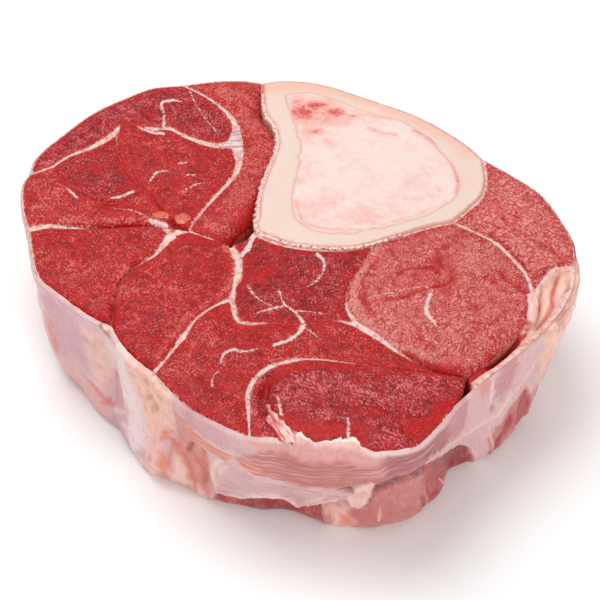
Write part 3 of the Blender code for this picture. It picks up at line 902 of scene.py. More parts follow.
def near_any(plan, lines, reach):
    """The lines with a point within reach of the box round the plan, each as a smooth curve."""
    low, high = plan.min(axis=0) - reach, plan.max(axis=0) + reach
    found = []
    for path, *rest in lines:
        corners = np.array(path) - FACE_CENTRE
        if ((corners > low) & (corners < high)).all(axis=1).any():
            found.append((face_line(path), *rest))
    return found


def sinew_gap(plan):
    """How far each point lies outside the nearest sinew, in millimetres, below nought within it."""
    least = np.full(len(plan), 5.0)
    for line, widths in near_any(plan, SINEWS, 3):
        gap, place = nearest(plan, line)
        least = np.minimum(least, gap - 0.5 * read_along(widths, place))
    return least


def dent_depth(plan):
    """The summed depth of the dents: a bell across each, and a swelling along it."""
    total = np.zeros(len(plan))
    for line, width, depth in near_any(plan, DENTS, 4):
        gap, place = nearest(plan, line)
        total += depth * bell(gap, width) * swelling(place, 0.06)
    return total


def spot_share(plan, middle, reach):
    """1 in the middle of an ellipse, falling off like a bell over its reach each way."""
    off = (plan + FACE_CENTRE - middle) / reach
    return np.exp(-(off**2).sum(axis=1))


def paler_by(plan):
    """How much paler the lean is: the zones and the bands, summed."""
    total = np.zeros(len(plan))
    for middle, reach, amount in ZONES:
        total += amount * spot_share(plan, middle, reach)
    for line, reach, amount in near_any(plan, BANDS, 3):
        total += amount * bell(nearest(plan, line)[0], reach)
    return total


def wandering(tree, target, place, size, detail, amount):
    """The target place moved sideways by up to the amount, by noise of the size."""
    drift = add(tree, "TexNoise", {"Vector": place, "Scale": 1 / size, "Detail": detail}, out="Color")
    return add(tree, "VectorMath", {0: drift, 1: (amount, amount, 0), 2: target}, operation="MULTIPLY_ADD")


def lean_finish(name, tone, angle, width, stretch, paleness):
    """Wet lean meat. Noise drawn out one way and bent by slower noise leaves painted glints of light on the
    wet ends of the fibres as short strokes where it is highest, and pits where it is lowest, more strokes
    the paler the place. The rest wanders between the lean's two reds, and is bright wet red at the edge
    and wherever paleness is below nought. White film and sinews lie over it."""
    material, tree, shader = new_finish(
        name,
        Roughness=0.36,
        Specular_IOR_Level=0.25,
        Subsurface_Weight=0.1,
        Subsurface_Scale=0.001,
        Subsurface_Radius=(1.0, 0.22, 0.16),
        Coat_Weight=0.08,
        Coat_Roughness=0.15,
    )
    red, deep, light = TONES[tone]
    place = millimetres(tree, math.radians(angle), DOWN_THE_FIBRES)
    bent = wandering(tree, place, place, 11, 2, 6)
    drawn = scaled(tree, bent, (1 / width, 1 / (width * stretch), 0.3))
    fibres = grain(tree, drawn, 1, 2, 0.7)
    cloud = grain(tree, place, 6, 5, 0.65)
    slow = grain(tree, bent, 3, 4, 0.65)

    # How pale the lean is at each place: its own value and the clouds, and less near its edge
    edge = value_of(tree, "edge")
    inner = rise(tree, maths(tree, "MULTIPLY_ADD", slow, 6, edge), 3.2, 7.0)
    pale = maths(tree, "ADD", value_of(tree, "pale"), paleness)
    pale = maths(tree, "ADD", pale, maths(tree, "MULTIPLY_ADD", cloud, 5.6, -2.8))
    pale = maths(tree, "MULTIPLY_ADD", maths(tree, "SUBTRACT", inner, 1), 0.55, pale)

    # The lean's two reds, then the wet red along its edge and where the lean is least pale
    tint = blend(tree, rise(tree, slow, 0.42, 0.64), red, deep)
    wet_edge = rise(tree, inner, 0.0, 1.0, 0.65, 0.0)
    wet = maths(tree, "MAXIMUM", wet_edge, rise(tree, pale, -1.6, -0.4, 0.9, 0.0))
    tint = blend(tree, wet, tint, blend(tree, rise(tree, fibres, 0.38, 0.58), EDGE_DEEP, EDGE_RED))

    # Painted glints: strokes on the wet fibre ends and fine flecks; and the pits between them where it is dry
    glints = maths(tree, "SUBTRACT", maths(tree, "MULTIPLY_ADD", pale, 0.075, fibres), 0.175)
    glints = maths(tree, "MULTIPLY_ADD", grain(tree, bent, 2.2, 3, 0.6), 0.35, glints)
    tint = blend(tree, rise(tree, glints, 0.54, 0.66), tint, light)
    pits = rise(tree, maths(tree, "MULTIPLY_ADD", pale, 0.02, fibres), 0.34, 0.44, 0.85, 0.0)
    tint = blend(tree, maths(tree, "MULTIPLY", pits, maths(tree, "SUBTRACT", 1.0, wet)), tint, deep)
    tint = blend(tree, rise(tree, grain(tree, drawn, 0.7, 3, 0.7), 0.62, 0.72, 0.0, 0.7), tint, GLINT_FLECK)

    # The pale muscles have looser bundles, with dark gaps between them in places, and long thin cracks
    if tone == "pink":
        ends = wandering(tree, scaled(tree, bent, (0.6, 0.36, 0.02)), place, 1.25, 3, 0.7)
        gap = add(tree, "TexVoronoi", {"Vector": ends, "Scale": 1}, feature="DISTANCE_TO_EDGE")
        crease = maths(tree, "MULTIPLY", rise(tree, gap, 0.02, 0.12, 0.8, 0.0), rise(tree, cloud, 0.4, 0.6))
        tint = blend(tree, crease, tint, deep)
        cracks = grain(tree, scaled(tree, bent, (0.8, 0.45, 0.05)), 1, 3, 0.6)
        cracks = maths(tree, "ABSOLUTE", maths(tree, "SUBTRACT", cracks, 0.5))
        tint = blend(tree, rise(tree, cracks, 0.004, 0.03, 0.75, 0.0), tint, deep)

    # White film that reaches in unevenly from the white walls, and the sinews
    wander = maths(tree, "MULTIPLY_ADD", grain(tree, place, 0.9, 4, 0.75), 4.2, -1.9)
    film = maths(tree, "SUBTRACT", edge, maths(tree, "MULTIPLY", value_of(tree, "white"), wander))
    tint = blend(tree, rise(tree, film, -0.4, 0.25, 0.9, 0.0), tint, SINEW_WHITE)
    wobble = maths(tree, "MULTIPLY_ADD", grain(tree, place, 0.7, 4, 0.8), 2.6, -0.2)
    sinew = maths(tree, "ADD", value_of(tree, "sinew"), wobble)
    tint = blend(tree, rise(tree, sinew, 0.75, 1.2, 0.95, 0.0), tint, STRAND_WHITE)
    set_surface(tree, shader, tint, maths(tree, "MULTIPLY_ADD", fibres, 2.0, slow), 0.7, 0.0005)
    return material


for number, (name, (swell, tone, angle, width, stretch, paleness)) in enumerate(MUSCLES.items()):
    plan, faces, loops = sheet([cell_rings[name]], LEAN_SPACING)
    drop, edge, white = rounded_over(plan, MUSCLE_CELLS[name])
    bumps = 0.28 * flat_noise(plan, 8, number) + 0.16 * flat_noise(plan, 2.6, number + 20)
    bumps += 0.09 * flat_noise(plan, 1.1, number + 40)
    high = THICKNESS + swell * smoothstep(edge, 0, SWELL_REACH) - drop
    high += smoothstep(edge, 0, SMOOTH_RIM) * bumps - dent_depth(plan)
    low = 0.7 * drop + 0.12 * (1 + flat_noise(plan, 2.6, number + 60)) * smoothstep(edge, 0, 1)
    points, triangles, under = slab(plan, faces, loops, high, low)
    points = draw_in(points, plan, under)
    values = {
        "edge": np.minimum(edge, FAR_IN)[under],
        "white": white[under],
        "sinew": sinew_gap(plan)[under],
        "pale": paler_by(plan)[under],
    }
    finish = lean_finish(name + "_lean", tone, angle, width, stretch, paleness)
    make_piece(name, points, triangles, finish, values, [name])


# The sawn end of the shin bone
# A ring of hard cream bone with a smooth sawn face, open in the middle for its marrow.

MARROW_OUTLINE = [
    (-4, 67), (5, 67), (22, 58.5), (32, 54), (41, 44.5), (47, 32), (45.5, 22), (34, 13.5), (18, 8.5),
    (6, 8), (-1, 13.5), (-2, 22), (0, 34), (0.5, 46), (-2, 57),
]
# How far the bone's face stands above the cut, and the spacing of its points
BONE_LIFT = 0.4
BONE_SPACING = 0.5
# How far the bone's outer and inner edges drop and over how much, and the height of its foot
OUTER_DROP, OUTER_ROUND = 0.9, 1.0
INNER_DROP, INNER_ROUND = 0.45, 0.7
BONE_FOOT = 0.1
# The peach stretch along the bone's far rim
FAR_RIM = [(-12, 70), (8, 71), (22, 64), (36, 56.5), (52, 42)]
BONE_CREAM = colour(226, 202, 189)
BONE_WARM = colour(230, 184, 166)
BONE_STAIN = colour(206, 116, 100)


def bone_finish():
    """Sawn bone: cream, peach along its outer rim and in slow clouds, stained where it meets the meat, with
    faint saw lines."""
    material, tree, shader = new_finish(
        "sawn_bone",
        Roughness=0.42,
        Subsurface_Weight=0.2,
        Subsurface_Scale=0.002,
        Subsurface_Radius=(1.0, 0.6, 0.45),
    )
    place = millimetres(tree)
    cloud = maths(tree, "ADD", grain(tree, place, 8, 4, 0.6), value_of(tree, "warm"))
    tint = blend(tree, rise(tree, cloud, 0.45, 1.1), BONE_CREAM, BONE_WARM)
    speck = grain(tree, place, 1.0, 4, 0.75)
    tint = blend(tree, rise(tree, speck, 0.5, 0.75, 0.0, 0.35), tint, BONE_WARM)
    edge = maths(tree, "SUBTRACT", value_of(tree, "edge"), maths(tree, "MULTIPLY", speck, 2.2))
    tint = blend(tree, rise(tree, edge, -0.7, 0.5, 0.6, 0.0), tint, BONE_STAIN)
    saw = add(tree, "Mapping", {"Vector": place, "Rotation": (0, 0, 0.5), "Scale": (0.05, 1.6, 1)})
    saw_lines = grain(tree, saw, 1, 2)
    set_surface(tree, shader, tint, maths(tree, "MULTIPLY_ADD", saw_lines, 0.6, speck), 0.25, 0.0002)
    return material


def ring_through(outline):
    """A smooth closed curve through the points of an outline, anticlockwise."""
    ring = face_line(closed(outline))[:-1]
    return ring[::-1] if runs_clockwise(ring) else ring


# The marrow's ragged outline is the hole in the bone, so it runs the other way round there
marrow_ring = ragged(even_ring(ring_through(MARROW_OUTLINE)), 0.5, 3.0, 8)
plan, faces, loops = sheet([bone_ring, marrow_ring[::-1]], BONE_SPACING)
edge = nearest(plan, closed(bone_ring))[0]
inner_edge = nearest(plan, closed(marrow_ring))[0]
high = THICKNESS + BONE_LIFT + 0.1 * flat_noise(plan, 7, 2)
high -= OUTER_DROP * round_drop(edge, OUTER_ROUND) + INNER_DROP * round_drop(inner_edge, INNER_ROUND)
low = BONE_FOOT + 0.1 * flat_noise(plan, 5, 12)
points, triangles, under = slab(plan, faces, loops, high, low)
warm = np.maximum(0.6 * band_share(plan, FAR_RIM, 3.5), 0.7 * bell(inner_edge, 0.9))
values = {"edge": np.minimum(edge, FAR_IN)[under], "warm": warm[under]}
make_piece("shin_bone", points, triangles, bone_finish(), values, ["shin_bone"])


# The marrow
# Spongy pink and white bone with fat marrow in it, sawn flat, with blood spots at its far end.

# Blood in the marrow: middle, reach both ways, and strength
BLOOD = [
    ((-1, 63), (4, 4), 0.7),
    ((5, 62), (6, 3.5), 0.9),
    ((11, 59), (5, 3), 0.95),
    ((16, 57), (4, 2), 0.7),
    ((2, 55), (3, 4), 0.6),
    ((5, 50.5), (5, 2), 0.75),
    ((3, 46), (2.5, 3), 0.5),
    ((10, 46), (4, 2), 0.35),
    ((5, 17), (6, 7), 0.42),
    ((16, 13), (10, 4.5), 0.46),
    ((28, 16), (7, 3), 0.32),
    ((36, 24), (8, 6), 0.28),
    ((2, 30), (3, 10), 0.22),
    ((7, 57), (11, 7), 0.66),
    ((1, 59), (6, 5), 1.0),
]
# Blood in lines: the way each runs, how far it spreads, and its strength
BLOOD_LINES = [
    ([(35, 51), (38.5, 48), (42.5, 43), (46, 36), (47.2, 29), (46.5, 24)], 0.9, 0.68),
    ([(21, 52), (25, 50), (29, 49)], 0.8, 0.6),
    ([(14, 57.5), (20, 58), (28, 55.5)], 0.6, 0.45),
    ([(-1, 20), (1, 12), (8, 9), (18, 8.6)], 0.9, 0.56),
    ([(24, 10.5), (34, 14.5), (43, 20)], 0.9, 0.46),
]
# How far the marrow stands above the cut, and the spacing of its points
MARROW_LIFT = 0.28
MARROW_SPACING = 0.42
MARROW_PALE = colour(234, 210, 202)
MARROW_PINK = colour(232, 172, 162)
MARROW_BLOOD = colour(208, 70, 60)


def marrow_finish():
    """Marrow: pale with pink clouds and veins, blood where its values say, and a spongy grain."""
    material, tree, shader = new_finish(
        "spongy_marrow",
        Roughness=0.45,
        Subsurface_Weight=0.3,
        Subsurface_Scale=0.002,
        Subsurface_Radius=(1.0, 0.5, 0.4),
    )
    place = millimetres(tree)
    blood = value_of(tree, "blood")
    cloud = maths(tree, "MULTIPLY_ADD", blood, 0.5, grain(tree, place, 5, 6, 0.7))
    tint = blend(tree, rise(tree, cloud, 0.44, 0.9), MARROW_PALE, MARROW_PINK)
    spots = maths(tree, "MULTIPLY", blood, grain(tree, place, 1.5, 6, 0.75))
    tint = blend(tree, rise(tree, spots, 0.24, 0.52), tint, MARROW_BLOOD)
    edge = maths(tree, "ADD", value_of(tree, "edge"), maths(tree, "MULTIPLY", grain(tree, place, 2, 3), 2.0))
    tint = blend(tree, rise(tree, edge, 0.8, 2.2, 0.6, 0.0), tint, MARROW_PINK)
    set_surface(tree, shader, tint, grain(tree, place, 0.6, 4, 0.7), 0.35, 0.0003)
    return material


def blood_share(plan):
    """How bloody the marrow is: the strongest of the spots and the lines at each place."""
    total = np.zeros(len(plan))
    for middle, reach, strength in BLOOD:
        total = np.maximum(total, strength * spot_share(plan, middle, reach))
    for path, reach, strength in BLOOD_LINES:
        total = np.maximum(total, strength * band_share(plan, path, reach))
    return total


# The marrow reaches into the bone on every side, so that no gap shows between them
plug_ring = marrow_ring - normals_into(marrow_ring) * 2 * OVERLAP
plan, faces, loops = sheet([plug_ring], MARROW_SPACING)
edge = nearest(plan, closed(plug_ring))[0]
high = THICKNESS + MARROW_LIFT + 0.08 * flat_noise(plan, 1.8, 6) + 0.06 * flat_noise(plan, 0.9, 7)
low = BONE_FOOT + 0.1 * flat_noise(plan, 5, 12)
points, triangles, under = slab(plan, faces, loops, high, low)
values = {"blood": blood_share(plan)[under], "edge": np.minimum(edge, FAR_IN)[under]}
make_piece("marrow", points, triangles, marrow_finish(), values, ["marrow"])


# The torn skin of the bone
# A ragged white fringe of periosteum along the bone's left edge, and a beaded strip along its front edge.

# The spacing of the fringe's points, how far it stands above the cut, how deep it goes, and where its
# stretch of the bone's edge starts and stops
FRINGE_SPACING = 0.3
FRINGE_LIFT = 0.25
FRINGE_DEPTH = 4
FRINGE_STARTS, FRINGE_STOPS = (-11, 68), (30, 8)
FRINGE_WHITE = colour(238, 208, 198)
FRINGE_PINK = colour(214, 134, 120)
FRINGE_BEAD = colour(158, 62, 54)


def fringe_finish():
    """Torn membrane: white with pink roots, and small brownish red beads where its value says."""
    material, tree, shader = new_finish(
        "torn_periosteum",
        Roughness=0.4,
        Specular_IOR_Level=0.35,
        Subsurface_Weight=0.25,
        Subsurface_Scale=0.0015,
        Subsurface_Radius=(1.0, 0.4, 0.3),
    )
    place = millimetres(tree)
    tint = blend(tree, rise(tree, grain(tree, place, 0.9, 4, 0.7), 0.46, 0.62), FRINGE_WHITE, FRINGE_PINK)
    cell = add(tree, "TexVoronoi", {"Vector": place, "Scale": 0.75, "Randomness": 0.8})
    bead = maths(tree, "MULTIPLY", rise(tree, cell, 0.2, 0.42, 0.9, 0.0), value_of(tree, "beads"))
    tint = blend(tree, bead, tint, FRINGE_BEAD)
    set_surface(tree, shader, tint, grain(tree, place, 0.6, 3), 0.5, 0.0003)
    return material


# The stretch of the bone's edge from its far left corner down and along the front, which is the beaded part
along_edge = even_ring(bone_ring, FRINGE_SPACING, 0)
outward = -normals_into(along_edge)
first = np.argmin(np.linalg.norm(along_edge + FACE_CENTRE - FRINGE_STARTS, axis=1))
along_edge, outward = np.roll(along_edge, -first, axis=0), np.roll(outward, -first, axis=0)
last = np.argmin(np.linalg.norm(along_edge + FACE_CENTRE - FRINGE_STOPS, axis=1))
along_edge, outward = along_edge[:last], outward[:last]
front = smoothstep(along_edge[:, 0], -14, -6) * smoothstep(-along_edge[:, 1], -12, -8)

# Teeth that reach out over the meat, and an uneven inner side on the bone; both die out at the stretch's ends
tooth = np.abs(flat_noise(along_edge, 0.8, 51)) + 0.5 * np.abs(flat_noise(along_edge, 0.4, 52))
ends = np.sin(np.pi * np.linspace(0, 1, len(along_edge))) ** 0.3
reach_out = ends * (0.3 + (1.3 - 0.4 * front) * tooth)
reach_in = ends * (0.9 + 0.5 * flat_noise(along_edge, 1.6, 53) + 0.5 * front) + 0.1
fringe_ring = np.vstack(
    [along_edge + outward * reach_out[:, None], (along_edge - outward * reach_in[:, None])[::-1]]
)
plan, faces, loops = sheet([fringe_ring], FRINGE_SPACING)
gap, place = nearest(plan, along_edge)
high = THICKNESS + FRINGE_LIFT + 0.16 * flat_noise(plan, 0.9, 54) - 0.35 * smoothstep(gap, 0.3, 1.2)
points, triangles, under = slab(plan, faces, loops, high, high - FRINGE_DEPTH)
beads = read_along(front, place)
make_piece("torn_periosteum", points, triangles, fringe_finish(), {"beads": beads[under]})


# Tendon ends and nerve stubs
# Pale striped ends of tendons and a torn fan of membrane lie flush in the cut face, and the cut ends of
# two nerves stand a little out of the web behind the middle muscle.

TENDON_WHITE = colour(234, 200, 194)
STUB_PINK = colour(204, 84, 60)
STUB_RIM = colour(236, 160, 136)
# The spacing of the points, how far and over how much each edge drops, and how deep each piece goes
TENDON_SPACING = 0.35
TENDON_DROP, TENDON_ROUND, TENDON_DEPTH = 0.5, 0.8, 3
STUB_SPACING = 0.3
STUB_ROUND, STUB_DEPTH = 1.1, 5

# Each tendon end: the way its stripes run in degrees, the tint between them, how red it is in its slits, how
# far it stands above the cut face, and its outline
TENDON_ENDS = {
    "tendon_end_back": (
        8,
        (184, 146, 154),
        0.0,
        0.2,
        [(-24.5, 43.4), (-22, 47.4), (-20.6, 52), (-18.9, 50.5), (-17.4, 46), (-17.8, 41), (-18.6, 38.5),
         (-20.4, 42.6)],
    ),
    "tendon_end_right": (
        80,
        (232, 176, 164),
        0.0,
        0.5,
        [(64.4, -16.6), (67.2, -16.8), (67.6, -22), (66.2, -27.4), (64, -26), (64.8, -21)],
    ),
    "torn_fan": (
        -62,
        (206, 112, 104),
        0.7,
        0.3,
        [(-9.4, -57.4), (-8.2, -57), (-7.4, -59.4), (-4.8, -61), (-3.2, -64.6), (-0.6, -66.6), (1, -70),
         (-2.4, -70.6), (-5.6, -69.4), (-7.2, -65.6), (-9, -63), (-8.6, -60)],
    ),
}


def tendon_finish(name, angle, between, redness):
    """Striped tendon: white bands with grey between them, and bare red slits where it is torn."""
    material, tree, shader = new_finish(
        name,
        Roughness=0.35,
        Specular_IOR_Level=0.4,
        Subsurface_Weight=0.2,
        Subsurface_Scale=0.0015,
        Subsurface_Radius=(1.0, 0.4, 0.3),
    )
    place = millimetres(tree, math.radians(-angle))
    stripe = grain(tree, scaled(tree, place, (0.14, 1.1, 0.3)), 1, 3, 0.6)
    tint = blend(tree, rise(tree, stripe, 0.44, 0.6), TENDON_WHITE, colour(*between))
    slit = grain(tree, scaled(tree, place, (0.1, 0.8, 0.3)), 1, 4, 0.7)
    tint = blend(tree, rise(tree, slit, 0.5, 0.58, 0.0, redness), tint, EDGE_RED)
    set_surface(tree, shader, tint, stripe, 0.7, 0.0005)
    return material


for name, (angle, between, redness, lift, outline) in TENDON_ENDS.items():
    ring = ragged(even_ring(ring_through(outline), TENDON_SPACING, 1), 0.25, 0.9, 61)
    plan, faces, loops = sheet([ring], TENDON_SPACING)
    high = THICKNESS + lift + 0.15 * flat_noise(plan, 1.5, 62)
    high -= TENDON_DROP * round_drop(nearest(plan, closed(ring))[0], TENDON_ROUND)
    points, triangles, under = slab(plan, faces, loops, high, high - TENDON_DEPTH)
    finish = tendon_finish(name + "_tendon", angle, between, redness)
    make_piece(name, points, triangles, finish, {})


def stub_finish():
    """The cut end of a nerve: orange pink, paler round its rim."""
    material, tree, shader = new_finish(
        "nerve_stub",
        Roughness=0.3,
        Specular_IOR_Level=0.4,
        Subsurface_Weight=0.3,
        Subsurface_Scale=0.0015,
        Subsurface_Radius=(1.0, 0.4, 0.3),
    )
    place = millimetres(tree)
    uneven = maths(tree, "MULTIPLY_ADD", grain(tree, place, 0.9, 3), 0.8, -0.4)
    rim = maths(tree, "ADD", value_of(tree, "rim"), uneven)
    tint = blend(tree, rise(tree, rim, 0.4, 0.8), STUB_PINK, STUB_RIM)
    set_surface(tree, shader, tint, grain(tree, place, 0.8, 3), 0.3, 0.0003)
    return material


# Each stub: its middle, its half length and half width, its turn in degrees, and its height
NERVE_STUBS = {
    "nerve_stub_left": ((-41.2, 15.2), (2.8, 1.7), 0, 42.25),
    "nerve_stub_right": ((-34.4, 13.6), (2.7, 2.2), -20, 42.4),
}
for name, (middle, (long, wide), turn, top) in NERVE_STUBS.items():
    way = np.linspace(0, 2 * np.pi, 60, endpoint=False)
    ring = turned(np.column_stack([long * np.cos(way), wide * np.sin(way)]), turn) + middle - FACE_CENTRE
    ring = ragged(even_ring(ring, STUB_SPACING, 0), 0.12, 1.2, 63)
    plan, faces, loops = sheet([ring], STUB_SPACING)
    gap = nearest(plan, closed(ring))[0]
    high = top - STUB_ROUND * round_drop(gap, STUB_ROUND) + 0.1 * flat_noise(plan, 1.2, 64)
    points, triangles, under = slab(plan, faces, loops, high, high - STUB_DEPTH)
    rim = np.clip(1 - gap / STUB_ROUND, 0, 1)
    make_piece(name, points, triangles, stub_finish(), {"rim": rim[under]})


# The skin round the outside
# Silverskin, fat and loose ends of meat wrap the slice. Their cut edge stands as a thin lip round the
# face, and below it the side bulges, folds and hangs in shelves.

# How far the skin stands out from the rim by itself, and the least after all its forms
SKIN = 0.8
LEAST_SKIN = -0.3
# The broad forms of the side: direction in degrees, height, how far each spreads in degrees and rises in
# millimetres, and how far it stands out
SKIN_FORMS = {
    "belly": (0, 18, 500, 16, 1.5),
    "left end swell": (182, 8, 13, 14, 2.4),
    "left silverskin hollow": (205, 20, 8, 16, -0.7),
    "fat left front": (227, 3, 14, 16, 5.8),
    "crest": (218, 18, 3.5, 15, 1.6),
    "fat lump": (233, 9, 5, 6, 1.5),
    "belt": (275, 32, 34, 7, 0.9),
    "undercut": (268, 12, 25, 5, -1.2),
    "meat bulge": (284, 2, 17, 9, 3.7),
    "step": (310, 5, 4, 9, -1.6),
    "right-front swell": (328, 4, 10, 12, 2.2),
    "right fat": (352, 29, 9, 9, 1.2),
    "lower right fat": (342, 12, 6, 7, 1.2),
    "left silverskin foot": (204, 1, 11, 18, 5.0),
    "left front foot": (229, 1, 13, 11, 4.2),
    "front foot lump": (249, 1, 7, 8, 1.7),
    "meat bulge corner": (303, 1, 4, 8, 2.8),
    "right front foot": (321, 2, 8, 11, 3.9),
    "right end foot": (334, 3, 9, 12, 4.2),
    "left foot swell": (209, 0, 9, 9, 2.0),
    "front foot swell": (250, 0, 9, 6, 1.2),
    "right foot swell": (310, 0, 10, 8, 1.6),
}
# Ripples round the foot: how many go round, how far each stands out, and where it starts in radians; and the
# height over which they fade
RIPPLES = [(9, 0.30, 0.4), (14, 0.25, 2.1), (23, 0.20, 4.0)]
RIPPLE_REACH = 12


def standing_out(direction, height):
    """How far the side stands out from the rim: the skin itself, a bell-shaped form for each entry, and
    ripples round the foot that fade upwards."""
    out = np.full(np.broadcast(direction, height).shape, SKIN)
    for middle, level, spread_of, rise_of, amount in SKIN_FORMS.values():
        out = out + amount * bell(turned_by(direction, middle), spread_of) * bell(height - level, rise_of)
    for waves, amount, phase in RIPPLES:
        out = out + amount * np.sin(np.radians(waves * direction) + phase) * np.exp(-height / RIPPLE_REACH)
    return np.maximum(out, LEAST_SKIN)


# Millimetres round the side in a degree of direction
DEGREE = 1.33
# Tints of the side: film and its torn edges, then fat and its folds, with a tan and a brick for painted
# shadow, then rosy film, meat, a deep red for painted shade and a shadow tint
FILM = (216, 182, 183)
PALE_FILM = (228, 200, 198)
LILAC = (208, 166, 172)
PEARL = (239, 220, 218)
MAUVE = (192, 138, 146)
WHITE_EDGE = (240, 210, 204)
BRIGHT_EDGE = (250, 230, 224)
TORN_WHITE = (252, 234, 228)
LIP_PINK = (226, 172, 164)
CREAM = (240, 199, 184)
BLUSH = (236, 200, 192)
ORANGE = (222, 152, 132)
PEACH_PINK = (222, 150, 132)
CREASE_PINK = (216, 132, 112)
# Tan: painted shadow above a ridge of the side
RIDGE_SHADOW_TAN = (196, 128, 118)
CLAY = (196, 110, 96)
# Brick: painted shadow in a fold's crease
CREASE_SHADOW_BRICK = (190, 100, 88)
TERRACOTTA = (206, 118, 102)
PALE_ROSE = (222, 174, 170)
DUSTY_PINK = (218, 168, 164)
DUSKY_PINK = (214, 156, 148)
WARM_PINK = (214, 142, 130)
ROSE = (206, 142, 134)
BROWN_PINK = (187, 119, 115)
MEAT_PINK = (190, 120, 116)
SOFT_RED = (208, 130, 130)
CORAL = (212, 118, 116)
PLUM = (168, 94, 100)
MEAT_RED = (176, 52, 50)
# Deep red meat darkened by painted shade, for creases, crevices, recesses and undercuts
SHADED_DEEP_RED = (150, 30, 32)
SHADOW = (140, 70, 74)

